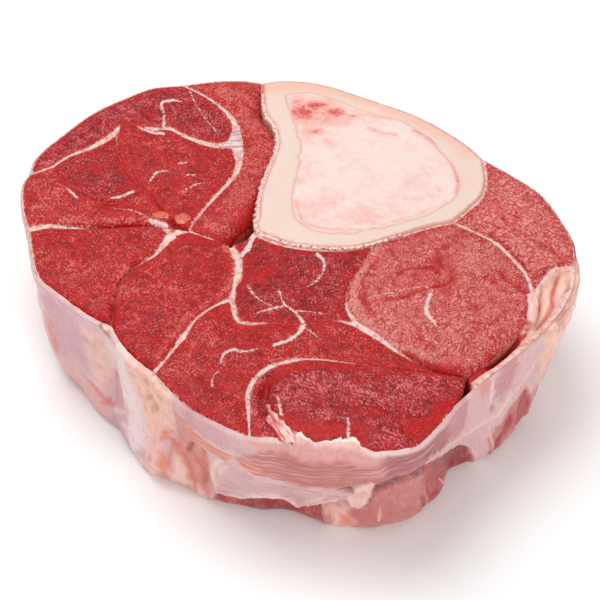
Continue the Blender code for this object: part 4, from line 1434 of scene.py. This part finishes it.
# Patches of the side in the order they are laid: tint, how far each stands out, how soft its edge is,
# whether its streaks run level (1) or upright (0), and its corners in degrees and millimetres of height
SKIN_PATCHES = [
    (PEARL, 0.2, 2.5, 0, [
        (206, 34), (219.5, 43), (220.5, 35), (222, 30), (224, 25), (225.5, 15), (224, 7), (219, -1),
        (206, -1),
    ]),
    (LILAC, 0, 4, 0, [(206, 22), (212, 26), (217, 24), (220, 16), (216, 9), (206, 10)]),
    (LILAC, 0, 3, 0, [(206, 7), (212, 7), (219, 12), (219, -1), (205, -1)]),
    (LILAC, 0, 5, 0, [(188, 38), (194, 40), (200, 34), (200, 16), (189, 16)]),
    (BLUSH, 0, 4, 0, [(201, 36), (206, 36), (206, 16), (200.6, 14)]),
    (PALE_ROSE, 0, 4, 0, [(186, 14), (200, 14), (203, 9), (203, -1), (186, -1)]),
    (CREAM, 0.3, 0.7, 0, [(205.6, 43), (212, 43), (208.5, 36.5)]),
    (ROSE, 0, 1.5, 0, [(186, 27), (189, 27), (190, 14), (187, 12)]),
    (CREAM, 0.8, 0.8, 0, [
        (219.8, 43), (238, 43), (239, 36), (238.5, 28), (237, 22), (232, 15), (225.6, 15), (224, 25),
        (222, 30), (220.5, 35),
    ]),
    (BLUSH, 0.4, 1.5, 0, [(226.3, 16), (233.4, 16), (234.4, 8), (234, -1), (222, -1), (225, 9)]),
    (ROSE, 0.2, 1.5, 0, [
        (239, 37), (244, 35), (248, 27), (247, 14), (247, -1), (232, -1), (235, 8), (236, 17), (239, 26),
    ]),
    (ORANGE, 0.2, 1.6, 0, [(232.5, 17), (235, 18), (238.5, 25), (236.5, 26), (233.5, 21)]),
    (ORANGE, 0.0, 2.4, 0, [(233.4, 13), (234.0, 9), (234.6, 4), (236.2, 4), (235.8, 9), (235.2, 13)]),
    (BLUSH, 0.7, 2.2, 0, [(236.8, 17), (240, 16), (241.6, 10), (241, 2), (237, 2)]),
    (BLUSH, 0.4, 2.0, 0, [(242.4, 8), (245.4, 5), (246, -1), (241.6, -1)]),
    (LILAC, 0.2, 1.0, 0, [
        (242, 43), (256, 43), (262, 37), (260, 34.8), (255, 33.4), (250, 33.6), (246, 35), (242.5, 37.5),
    ]),
    (FILM, 0.2, 3.0, 0, [(254, 43), (268, 43), (266, 38), (260, 36), (256, 36)]),
    (WARM_PINK, 0.4, 1.6, 1, [(243, 36), (250, 33), (256, 31.8), (255, 28.5), (249, 27.5), (244, 29)]),
    (BROWN_PINK, 0.6, 1.0, 1, [
        (256, 32.5), (262, 36), (263, 43), (311, 43), (311, 27), (302, 32), (296, 33.5), (289, 30),
        (284.5, 26), (281, 23), (277, 21.5), (270, 21.5), (263, 23.5), (258, 27),
    ]),
    (DUSTY_PINK, 0.2, 2.6, 0, [
        (257, 43), (261, 38.6), (268, 37.3), (276, 36.4), (284, 36.6), (288, 39), (290, 43),
    ]),
    (ORANGE, 0.2, 2.0, 1, [(255.5, 32.5), (259, 32), (262, 28.5), (259.5, 27), (257, 29)]),
    (PLUM, 0, 3.0, 1, [(288, 40), (298, 43), (305, 37), (303, 30), (296, 33), (289, 32)]),
    (FILM, 0.5, 0.6, 1, [
        (252.5, 25), (258, 23), (266, 21), (270, 21), (277, 21.5), (282, 23.5), (285.5, 28), (281.5, 17),
        (279.5, 15), (276, 12.5), (274, 10.5), (271, 8.6), (269.5, 7.6), (267, 9.4), (265, 10.5),
        (261, 11.2), (258, 9.6), (256, 7.6), (251, 6.4), (248.6, 7.4), (249, 13), (250.5, 19),
    ]),
    (MEAT_RED, -1.0, 0.5, 0, [
        (249, 7.0), (251, 7.2), (256, 7.4), (258, 8.8), (261, 10.2), (265, 9.8), (267, 8.6), (269.5, 7.4),
        (272, 9.4), (275.5, 12), (276, 0), (276, -1), (247, -1),
    ]),
    # Painted shade deepening the red meat of the undercut
    (SHADED_DEEP_RED, -0.8, 1.2, 0, [
        (257.4, 8.0), (267, 8.6), (269, 6), (271, 2), (267, -1), (256.4, -1), (256.6, 4),
    ]),
    (MEAT_PINK, 0.2, 0.6, 0, [
        (275.6, 11.8), (279.5, 14.6), (284, 14), (286, 25), (290, 29), (295, 32), (297, 28), (297, 12),
        (298.5, -1), (275.6, -1),
    ]),
    (BLUSH, 0.1, 3.6, 0, [(276.5, 11), (281, 13), (284, 5), (283, -1), (277, -1)]),
    (PEACH_PINK, 0.0, 2.0, 0, [(279.6, 8), (283, 8), (283.4, 3), (280, 2)]),
    (SHADOW, -1.4, 1.2, 1, [
        (279, 21), (284.5, 24), (288, 28.4), (292, 31.2), (296, 32), (300, 28.5), (297, 27), (293, 28),
        (289, 25), (286, 22), (283, 20.5),
    ]),
    (BLUSH, 0.9, 0.5, 0, [
        (286.6, 30), (285.8, 20), (284.6, 12), (282.2, 12), (281.6, 17), (283.4, 24), (285.6, 29.6),
    ]),
    (MEAT_RED, -0.6, 0.6, 0, [
        (296.4, 31), (300, 27.6), (305, 22.6), (310, 17.4), (314, 12), (316, 6), (316.4, -1), (297.6, -1),
        (296.4, 12),
    ]),
    # Painted shade deepening the red meat under the belt
    (SHADED_DEEP_RED, -0.9, 1.4, 0, [
        (299, 26), (305, 21.6), (310, 16.6), (315, 10), (315.6, -1), (311, -1), (307, 11), (301, 18),
    ]),
    (MAUVE, 0.1, 2.6, 0, [(303.5, 43), (311, 43), (312, 30), (311, 26), (307, 29), (304, 35)]),
    (FILM, 0.1, 1.5, 0, [(311, 43), (316, 43), (316, 26), (311, 25)]),
    (DUSKY_PINK, 0, 2.0, 0, [(315.6, 41.5), (318.6, 42), (319, 34), (316.5, 33)]),
    (MAUVE, 0, 2.5, 0, [(322, 43), (328, 43), (328.5, 28), (325, 24), (322, 27)]),
    (FILM, 0.1, 0.8, 0, [
        (311, 20.5), (317, 19.8), (324, 18.6), (328, 21), (334, 26), (335, 18), (331, 13), (324, 12),
        (322, -1), (318.8, -1), (317.8, 5), (314.3, 12.6),
    ]),
    (MEAT_PINK, 0, 1.5, 0, [
        (320, 10), (326, 14), (330, 19), (334, 20.5), (336, 14), (338, -1), (321, -1),
    ]),
    (MEAT_RED, -0.5, 0.8, 0, [
        (321, 3.5), (322.6, 8), (326, 10.4), (328.2, 14.6), (329.2, 13), (327.8, 8.4), (324.8, 6.6),
        (324, -1), (320.6, -1),
    ]),
    (MEAT_RED, -1.0, 0.7, 0, [
        (329.8, 10), (331.2, 15), (333, 19.4), (335, 17.4), (335.4, 12), (336, -1), (331, -1), (330.4, 6),
    ]),
    (ROSE, 0.2, 1.5, 0, [(336, 15), (339, 13), (343, -1), (336.6, -1)]),
    (CREAM, 0.5, 2.5, 0, [
        (336, 43), (360, 43), (358, 32), (352, 24), (350, 8), (344, 9), (339, 17), (338, 28),
    ]),
    (ROSE, 0.2, 1.5, 0, [(339, 43), (344, 43), (347, 35), (343, 35)]),
    (CREAM, 0.6, 1.5, 0, [(350, 26), (363, 30), (366, 18), (363, 8), (354, 8), (350, 14)]),
    (ORANGE, -0.7, 1.0, 0, [
        (352, 22), (357, 20), (362, 18), (361.5, 13), (360, 9.5), (357, 11), (354.6, 15),
    ]),
    (MEAT_RED, 0, 1.5, 0, [(358, 43), (372, 43), (371, 33), (364, 31), (360, 33)]),
    (BLUSH, 0.2, 3.0, 0, [(366, 26), (374, 28), (378, 12), (374, -1), (366, -1)]),
    (CREAM, 0.0, 4.0, 0, [(374, 46), (394, 46), (398, 34), (389, 25), (380, 30)]),
    (MEAT_PINK, 0.2, 1.6, 0, [(380, 18), (392, 22), (400, 12), (401, -1), (379, -1)]),
    (MEAT_RED, -0.4, 1.2, 0, [(385, 11), (391, 15), (395, 5), (392, -1), (385, 1)]),
    (PALE_FILM, 0, 6, 0, [(404, 43), (456, 43), (456, -1), (412, -1)]),
    (PALE_FILM, 0, 6, 0, [(84, 43), (96, 43), (94, -1), (84, -1)]),
    (BLUSH, 0.4, 5, 0, [(414, 22), (424, 27), (436, 18), (434, 9), (420, 9)]),
    (CREAM, 0.0, 4.0, 0, [(100, 46), (128, 46), (129, 36), (119, 26), (108, 30)]),
    (MEAT_PINK, 0.3, 1.6, 0, [(111, 20), (124, 24), (134, 14), (137, -1), (107, -1)]),
    (MEAT_RED, -0.5, 1.2, 0, [(122, 12), (130, 12), (132, 2), (127, -1), (121, 4)]),
    (LILAC, 0.1, 4, 1, [(136, 43), (160, 43), (164, 27), (150, 19), (138, 29)]),
    (ROSE, 0.3, 2.4, 0, [(147, 17), (158, 22), (168, 12), (169, -1), (145, -1)]),
    (MEAT_RED, -0.4, 1.2, 0, [(155, 14), (160, 16), (164, 8), (161, 2), (156, 4)]),
    (CREAM, 0.0, 3.5, 0, [(168, 36), (177, 41), (183, 30), (178, 14), (170, 20)]),
]
# Ridges and creases of the side: tint, how far each stands out, its width, and its way
SKIN_LINES = [
    # The pale crest ridge of the left silverskin: pearly membrane, and a painted highlight along the crest
    (PEARL, 0.25, 3.6, [(220, 41), (220.4, 35), (222, 30), (224.4, 24), (225.4, 15), (224, 8)]),
    (CORAL, -0.3, 2.0, [(202.6, 8), (204.4, 9.8), (205, 12)]),
    (SOFT_RED, -0.2, 1.6, [(198, 14), (201, 12.4), (204, 10), (207, 9.6), (210, 10.6)]),
    (PEARL, 0.3, 1.4, [
        (206.2, 8.4), (208, 7.8), (209.4, 6.6), (211.6, 9.2), (214.4, 12.4), (218.4, 17.4),
    ]),
    (SHADOW, -0.7, 0.8, [(205.4, 41.6), (206.6, 38.6), (208.6, 36.6)]),
    # A dark crevice: painted shade in deep red
    (SHADED_DEEP_RED, -0.8, 1.6, [(241.5, 20), (243, 24), (244.5, 27)]),
    # Painted shadow in the fold's crease, in brick
    (CREASE_SHADOW_BRICK, -0.6, 3.4, [(247.4, 26), (246.6, 20), (245.8, 14), (245.4, 8)]),
    (CLAY, -0.4, 2.4, [(240, 25), (243.4, 21), (245.4, 16), (246, 10)]),
    (TERRACOTTA, -0.3, 2.0, [(235.6, 20), (239, 18.4), (241.6, 14), (243, 6), (243.4, 0)]),
    (WHITE_EDGE, 0.9, 2.2, [(255, 29), (251.6, 25.4), (249.4, 20), (248.2, 14), (248.6, 9)]),
    (WHITE_EDGE, 0.5, 1.6, [(254, 24.5), (251.6, 21), (250.6, 16)]),
    (WHITE_EDGE, 0.5, 0.8, [(244, 36), (250, 33.2), (255, 32.6), (262, 34.6)]),
    (ROSE, -0.5, 1.0, [(257, 30.5), (262, 26.5), (268, 24.6), (275, 25)]),
    (BRIGHT_EDGE, 0.9, 1.9, [
        (248.8, 7.6), (251, 6.9), (256, 8.1), (258, 10), (261, 11.6), (265, 10.9), (267, 9.9),
        (269.5, 8.1), (271, 9.1), (274, 11.1), (276, 13.4), (279, 15.6),
    ]),
    (WHITE_EDGE, 0.8, 1.3, [(270, 9.5), (272.5, 12), (275, 15), (276.5, 19)]),
    (BLUSH, 0.5, 0.8, [(266, 12), (267, 18), (269, 23)]),
    (WHITE_EDGE, 0.4, 1.2, [(282.2, 12), (282.2, 19), (285.6, 28.4)]),
    (WHITE_EDGE, 0.4, 1.0, [(282.2, 12.4), (284, 12.8), (285.2, 19), (286.4, 28)]),
    (SHADOW, -0.6, 0.6, [(285.6, 13), (286.6, 22), (287, 28)]),
    (BLUSH, 0.5, 0.8, [(287.5, 7), (287.8, 13)]),
    (ROSE, 0.4, 1.0, [(297.6, 1), (298.4, 6), (297.4, 14), (297, 22)]),
    (WHITE_EDGE, 1.1, 1.6, [
        (297, 34.6), (302, 31), (306, 26.8), (311, 22.8), (316, 20.8), (321, 19.2), (324.4, 19.4),
        (327.5, 22.2), (331, 24.8), (334.5, 28.4), (338, 34),
    ]),
    # Painted shadow above the white ridge, in rose and then in tan
    (ROSE, -0.6, 1.6, [(303, 32.4), (306, 29), (309, 26.4), (312.6, 24.8)]),
    (RIDGE_SHADOW_TAN, -0.7, 1.6, [(321.4, 24.5), (322.4, 21.5)]),
    (PEARL, 0.5, 1.0, [(319.6, 41), (320, 34), (321, 27)]),
    (ROSE, -0.3, 0.9, [(326, 42), (327.4, 38), (328.6, 34)]),
    (BLUSH, 0.5, 0.8, [(320.8, 16), (321.4, 9), (322, 1)]),
    (BLUSH, 0.6, 0.9, [(310.6, 17.6), (314.6, 12), (316.6, 5), (317, -1)]),
    (WHITE_EDGE, 0.4, 0.7, [(303, 10), (304.5, 5), (306, 0)]),
    (WHITE_EDGE, 0.7, 1.2, [(338.6, 41), (339.4, 36), (338.4, 30)]),
    # A dark crease: painted shade in deep red
    (SHADED_DEEP_RED, -0.9, 0.9, [(358, 36), (360, 30), (361.6, 24), (362.4, 20)]),
    (WHITE_EDGE, 0.6, 1.0, [(349, 36), (352, 30), (356, 25)]),
    (WHITE_EDGE, 0.7, 1.8, [(372, 38), (376, 28), (381, 19), (392, 23), (401, 13), (404, 4)]),
    (ROSE, -0.4, 1.6, [(412, 38), (420, 31), (432, 27), (444, 30)]),
    (WHITE_EDGE, 0.5, 1.4, [(414, 18), (424, 13), (436, 15)]),
    (WHITE_EDGE, 0.8, 2.0, [(100, 40), (105, 29), (110, 21), (124, 25), (134, 15), (139, 4)]),
    (WHITE_EDGE, 0.6, 1.8, [(137, 41), (141, 28), (147, 18), (158, 23), (168, 13), (172, 2)]),
    (SHADOW, -0.6, 1.2, [(143, 15), (142, 9), (143, 2)]),
    (ROSE, -0.4, 1.2, [(150, 38), (154, 33), (160, 31)]),
]
# How the streaks of the belt run: direction and height
BELT = [(90, 27), (250, 31), (256, 31), (262, 28), (270, 27), (280, 27), (290, 33), (300, 36), (450, 36)]
# The lip: direction, how far it reaches in over the rim, and its height
LIP = [
    (90, 0.2, 41.1), (176, 0.2, 41.1), (188, 0.5, 41.3), (200, 0.6, 41.2), (206, 0.3, 40.6),
    (215, 0.7, 41.3), (225, 0.5, 41.5), (240, 0.3, 41.5), (261, 0.5, 41.6), (264, 0.7, 41.7),
    (267, 0.8, 41.8), (269, 2.4, 42.3), (271, 3.0, 42.5), (274.6, 1.0, 42.2), (277, 1.8, 42.3),
    (279.6, 3.0, 42.5), (283, 3.3, 42.5), (283.8, 1.4, 42.1), (287, 0.9, 41.9), (300, 0.7, 41.7),
    (312, 0.3, 41.2), (360, 0.2, 40.9), (450, 0.2, 41.1),
]
# The distance between the columns of the skin's points, the levels of its outside, and those of the hidden
# inside, which stays a wall's thickness behind it
SKIN_SPACING = 0.54
SIDE_LEVELS = np.concatenate([np.linspace(40.4, 4, 56), [3.2, 2.4, 1.7, 1.1, 0.6, 0.25, 0.05]])
INNER_LEVELS = (0.4, 3, 8, 14, 30)
SKIN_WALL = 0.8
# How far the foot's edge is rounded inward and upward, and how the fat's creases lie, in degrees
FOOT_ROUND, FOOT_RISE = 2.2, 3.5
CREASE_TURN = 36.87
# How strongly a ridge is painted, and how far the colours are enriched
LINE_STRENGTH = 0.85
RICHNESS = 0.3


def flat_share(spots, corners, soft):
    """How much a patch covers each spot of the side: from 0 to 1 across its soft edge, which wanders."""
    ring = np.array(corners) * (DEGREE, 1)
    low, high = ring.min(axis=0) - 2 * soft, ring.max(axis=0) + 2 * soft
    near = np.flatnonzero(((spots > low) & (spots < high)).all(axis=1))
    ring = even_ring(ring, 0.6, 2)
    gap = nearest(spots[near], closed(ring))[0] * np.where(inside(spots[near], ring), 1, -1)
    wander = (0.3 + 0.5 * soft) * flat_noise(spots[near], 2.5, 15) + 0.5 * flat_noise(spots[near], 6, 16)
    share = np.zeros(len(spots))
    share[near] = smoothstep(gap + wander, -0.6 * soft, 0.6 * soft)
    return share


def painted(tint, share, colour_of):
    """The tint with a new colour laid over it by its share."""
    return tint + share[:, None] * (np.array(colour(*colour_of)) - tint)


def skin_finish():
    """Membrane, fat and meat of the side. The tint comes with the mesh; streaks lighten and darken it,
    level ones round the belt and upright ones elsewhere, and the damp film over them shines a little."""
    material, tree, shader = new_finish(
        "outer_skin",
        Roughness=0.4,
        Specular_IOR_Level=0.4,
        Subsurface_Weight=0.25,
        Subsurface_Scale=0.002,
        Subsurface_Radius=(1.0, 0.35, 0.28),
        Coat_Weight=0.15,
        Coat_Roughness=0.3,
    )
    tint = add(tree, "Attribute", {}, out="Color", attribute_name="tint")
    along = value_of(tree, "along")
    rising = value_of(tree, "rising")
    upright = add(tree, "CombineXYZ", {0: along, 1: maths(tree, "MULTIPLY", rising, 0.22)})
    level = add(tree, "CombineXYZ", {0: maths(tree, "MULTIPLY", along, 0.07), 1: value_of(tree, "across")})
    upright = grain(tree, upright, 0.9, 3, 0.6)
    level = grain(tree, level, 0.8, 3, 0.6)
    streaks = add(tree, "Mix", {0: value_of(tree, "level"), 2: upright, 3: level}, data_type="FLOAT")
    place = millimetres(tree)
    mottle = grain(tree, place, 2.2, 5, 0.7)
    veil = grain(tree, place, 8.0, 4, 0.6)
    strength = maths(tree, "MULTIPLY_ADD", value_of(tree, "level"), 0.3, 0.2)
    light = maths(tree, "MULTIPLY", rise(tree, streaks, 0.5, 0.72), strength)
    dim = maths(tree, "MULTIPLY", rise(tree, streaks, 0.3, 0.5, 1.0, 0.0), strength)
    paint = blend(tree, rise(tree, veil, 0.45, 0.7, 0.0, 0.1), tint, colour(*PEARL))
    paint = blend(tree, rise(tree, veil, 0.3, 0.5, 0.35, 0.0), paint, colour(*ROSE))
    paint = blend(tree, light, paint, colour(*WHITE_EDGE))
    dimmed = {0: dim, 6: paint, 7: colour(*ROSE)}
    paint = add(tree, "Mix", dimmed, out=2, data_type="RGBA", blend_type="MULTIPLY")
    paint = blend(tree, rise(tree, mottle, 0.52, 0.75, 0.0, 0.5), paint, colour(*ROSE))
    height = maths(tree, "MULTIPLY_ADD", streaks, 1.2, maths(tree, "MULTIPLY", mottle, 0.8))
    set_surface(tree, shader, paint, height, 0.5, 0.0005)
    return material


# The outside, level by level from under the lip to the foot: tints, stand-out and streaks from the patches
columns = even_ring(rim_ring, SKIN_SPACING, 2)
count = len(columns)
outward = -normals_into(columns)
around = 270 + turned_by(np.degrees(np.arctan2(columns[:, 1], columns[:, 0])), 270)
direction = np.tile(around, len(SIDE_LEVELS))
height = np.repeat(SIDE_LEVELS, count)
spots = np.column_stack([direction * DEGREE, height])
tint = np.tile(colour(*FILM), (len(spots), 1))
stand = np.zeros(len(spots))
level_streaks = np.zeros(len(spots))
for colour_of, amount, soft, level_share, corners in SKIN_PATCHES:
    share = flat_share(spots, corners, soft)
    tint = painted(tint, share, colour_of)
    stand += share * (amount - stand)
    level_streaks += share * (level_share - level_streaks)
for colour_of, amount, width, way in SKIN_LINES:
    line = smooth_line(np.array(way) * (DEGREE, 1))
    near = np.flatnonzero(np.abs(spots[:, 0] - line[:, 0].mean()) < 3 * width + np.ptp(line[:, 0]))
    gap, place = nearest(spots[near], line)
    share = bell(gap, width * (0.25 + 0.35 * np.sin(np.pi * place)))
    tint[near] = painted(tint[near], LINE_STRENGTH * share, colour_of)
    stand[near] += share * amount

# Fat is where green is clearly above blue; it is lumpy and creased, and the rest is smoother
fatty = smoothstep(tint[:, 1] - tint[:, 2], 0.02, 0.08)
slanted = turned(spots, CREASE_TURN)
relief = 0.4 * flat_noise(slanted, 6, 21) + 0.22 * flat_noise(spots, 2.3, 22)
creases = 0.5 - 1.6 * np.abs(flat_noise(slanted, 4.2, 23) + 0.4 * flat_noise(spots, 2.1, 24))
rich = RICHNESS * smoothstep(tint[:, 1], 0.05, 0.25)[:, None]
tint[:, :3] += rich * (tint[:, :3] - tint[:, :3].mean(axis=1, keepdims=True))
tint = painted(tint, 0.55 * fatty * smoothstep(-creases, -0.1, 0.7), CREASE_PINK)
out = standing_out(direction, height) + stand + relief * (0.5 + 1.3 * fatty) + 0.45 * creases * fatty
out -= foot_tuck(direction, height) + FOOT_ROUND * round_drop(height, FOOT_RISE)
side_out = out.reshape(len(SIDE_LEVELS), count)

# The lip: its top, which is uneven, and its torn inner edge over the face
directions, reaches, heights = np.array(LIP).T
top = np.interp(around, directions, heights)
top += 0.2 * flat_noise(columns, 2.6, 31) + 0.06 * flat_noise(columns, 1.1, 32)
reach = np.interp(around, directions, reaches)
tear = np.abs(flat_noise(columns, 1.2, 33)) + 0.5 * flat_noise(columns, 0.6, 34)
inner = reach + 0.15 * flat_noise(columns, 1.5, 33) + 0.8 * np.maximum(reach - 0.9, 0) * (tear - 0.2)

# The rows of the closed skin, each a height and a shift outward: up its inside, over the lip, down the
# outside and back under the foot
rows = []
for level in INNER_LEVELS:
    outside = side_out[np.argmin(np.abs(SIDE_LEVELS - level))]
    rows.append((level, np.minimum(-inner, outside - SKIN_WALL)))
rows += [(39.5, -inner), (top - 0.45, -inner), (top - 0.1, -0.94 * inner), (top, -0.7 * inner)]
rows += [(top, -0.4 * inner), (top - 0.1, np.full(count, -0.1)), (top - 0.3, 0.5 * out[:count])]
extra = len(rows)
rows += zip(SIDE_LEVELS, side_out)
points = np.vstack([at_height(columns + outward * shift[:, None], level) for level, shift in rows])
numbers = np.arange(len(points)).reshape(-1, count)
below, right = np.roll(numbers, -1, axis=0), np.roll(numbers, -1, axis=1)
corner = np.roll(below, -1, axis=1)
halves = [(numbers, below, corner), (numbers, corner, right)]
triangles = np.vstack([np.column_stack([part.ravel() for part in half]) for half in halves])

# The lip is torn white over the face, and pink on its outer side
white_lip = painted(tint[:count], np.clip(reach, 0, 1), WHITE_EDGE)
wide = smoothstep(reach, 0.8, 1.6)
pink_lip = painted(white_lip, wide, LIP_PINK)
torn_lip = painted(white_lip, wide, TORN_WHITE)
belt = np.interp(direction, *np.array(BELT).T)
values = {
    "tint": np.vstack([torn_lip] * (extra - 3) + [pink_lip] * 3 + [tint]),
    "along": np.tile(np.arange(count) * SKIN_SPACING, len(numbers)),
    "rising": points[:, 2],
    "across": np.concatenate([np.zeros(extra * count), height - belt]),
    "level": np.concatenate([np.zeros(extra * count), level_streaks]),
}
make_piece("outer_skin", points, triangles, skin_finish(), values)


# The studio
# A plain pale floor, a broad soft light overhead and behind, a weaker one in front, and the camera
# where the photographer stood.

# The floor's size in metres and its two near-whites, then the point that the camera looks at, its distance
# in metres, its height in degrees and its lens in millimetres
FLOOR_SIZE = 3.0
FLOOR_PALE, FLOOR_WHITE = (0.96, 0.96, 0.96, 1), (0.98, 0.98, 0.98, 1)
CAMERA_TARGET = Vector((0.001643, -0.000051, 0.021))
CAMERA_DISTANCE = 0.62
CAMERA_ELEVATION = 48.0
LENS = 124.8

bpy.ops.mesh.primitive_plane_add(size=FLOOR_SIZE)
floor = bpy.context.object
floor.name = "floor"
floor_paint, floor_tree, floor_shader = new_finish("floor_paint", Roughness=0.9)
shade = grain(floor_tree, add(floor_tree, "TexCoord", {}, out="Object"), 0.4)
feed(floor_tree, floor_shader, {"Base Color": blend(floor_tree, shade, FLOOR_PALE, FLOOR_WHITE)})
floor.data.materials.append(floor_paint)

world = bpy.data.worlds.new("studio")
world.use_nodes = True
world.node_tree.nodes["Background"].inputs["Color"].default_value = (1, 1, 1, 1)
world.node_tree.nodes["Background"].inputs["Strength"].default_value = 0.5
bpy.context.scene.world = world


def soft_light(name, place, size, power):
    """A square area light of the given size that faces the middle of the slice."""
    light = bpy.data.lights.new(name, "AREA")
    light.size = size
    light.energy = power
    lamp = bpy.data.objects.new(name, light)
    lamp.location = place
    lamp.rotation_euler = (CAMERA_TARGET - Vector(place)).to_track_quat("-Z", "Y").to_euler()
    bpy.context.scene.collection.objects.link(lamp)


soft_light("overhead light", (-0.25, 0.35, 1.0), 0.7, 7.6)
soft_light("front light", (0.4, -0.9, 0.6), 0.8, 4.4)

camera = bpy.data.cameras.new("camera")
camera.lens = LENS
camera.sensor_width = 36
viewer = bpy.data.objects.new("camera", camera)
rise_angle = math.radians(CAMERA_ELEVATION)
away = Vector((0, -math.cos(rise_angle), math.sin(rise_angle)))
viewer.location = CAMERA_TARGET + CAMERA_DISTANCE * away
viewer.rotation_euler = (-away).to_track_quat("-Z", "Y").to_euler()
bpy.context.scene.collection.objects.link(viewer)
bpy.context.scene.camera = viewer
bpy.context.scene.view_settings.view_transform = "Standard"
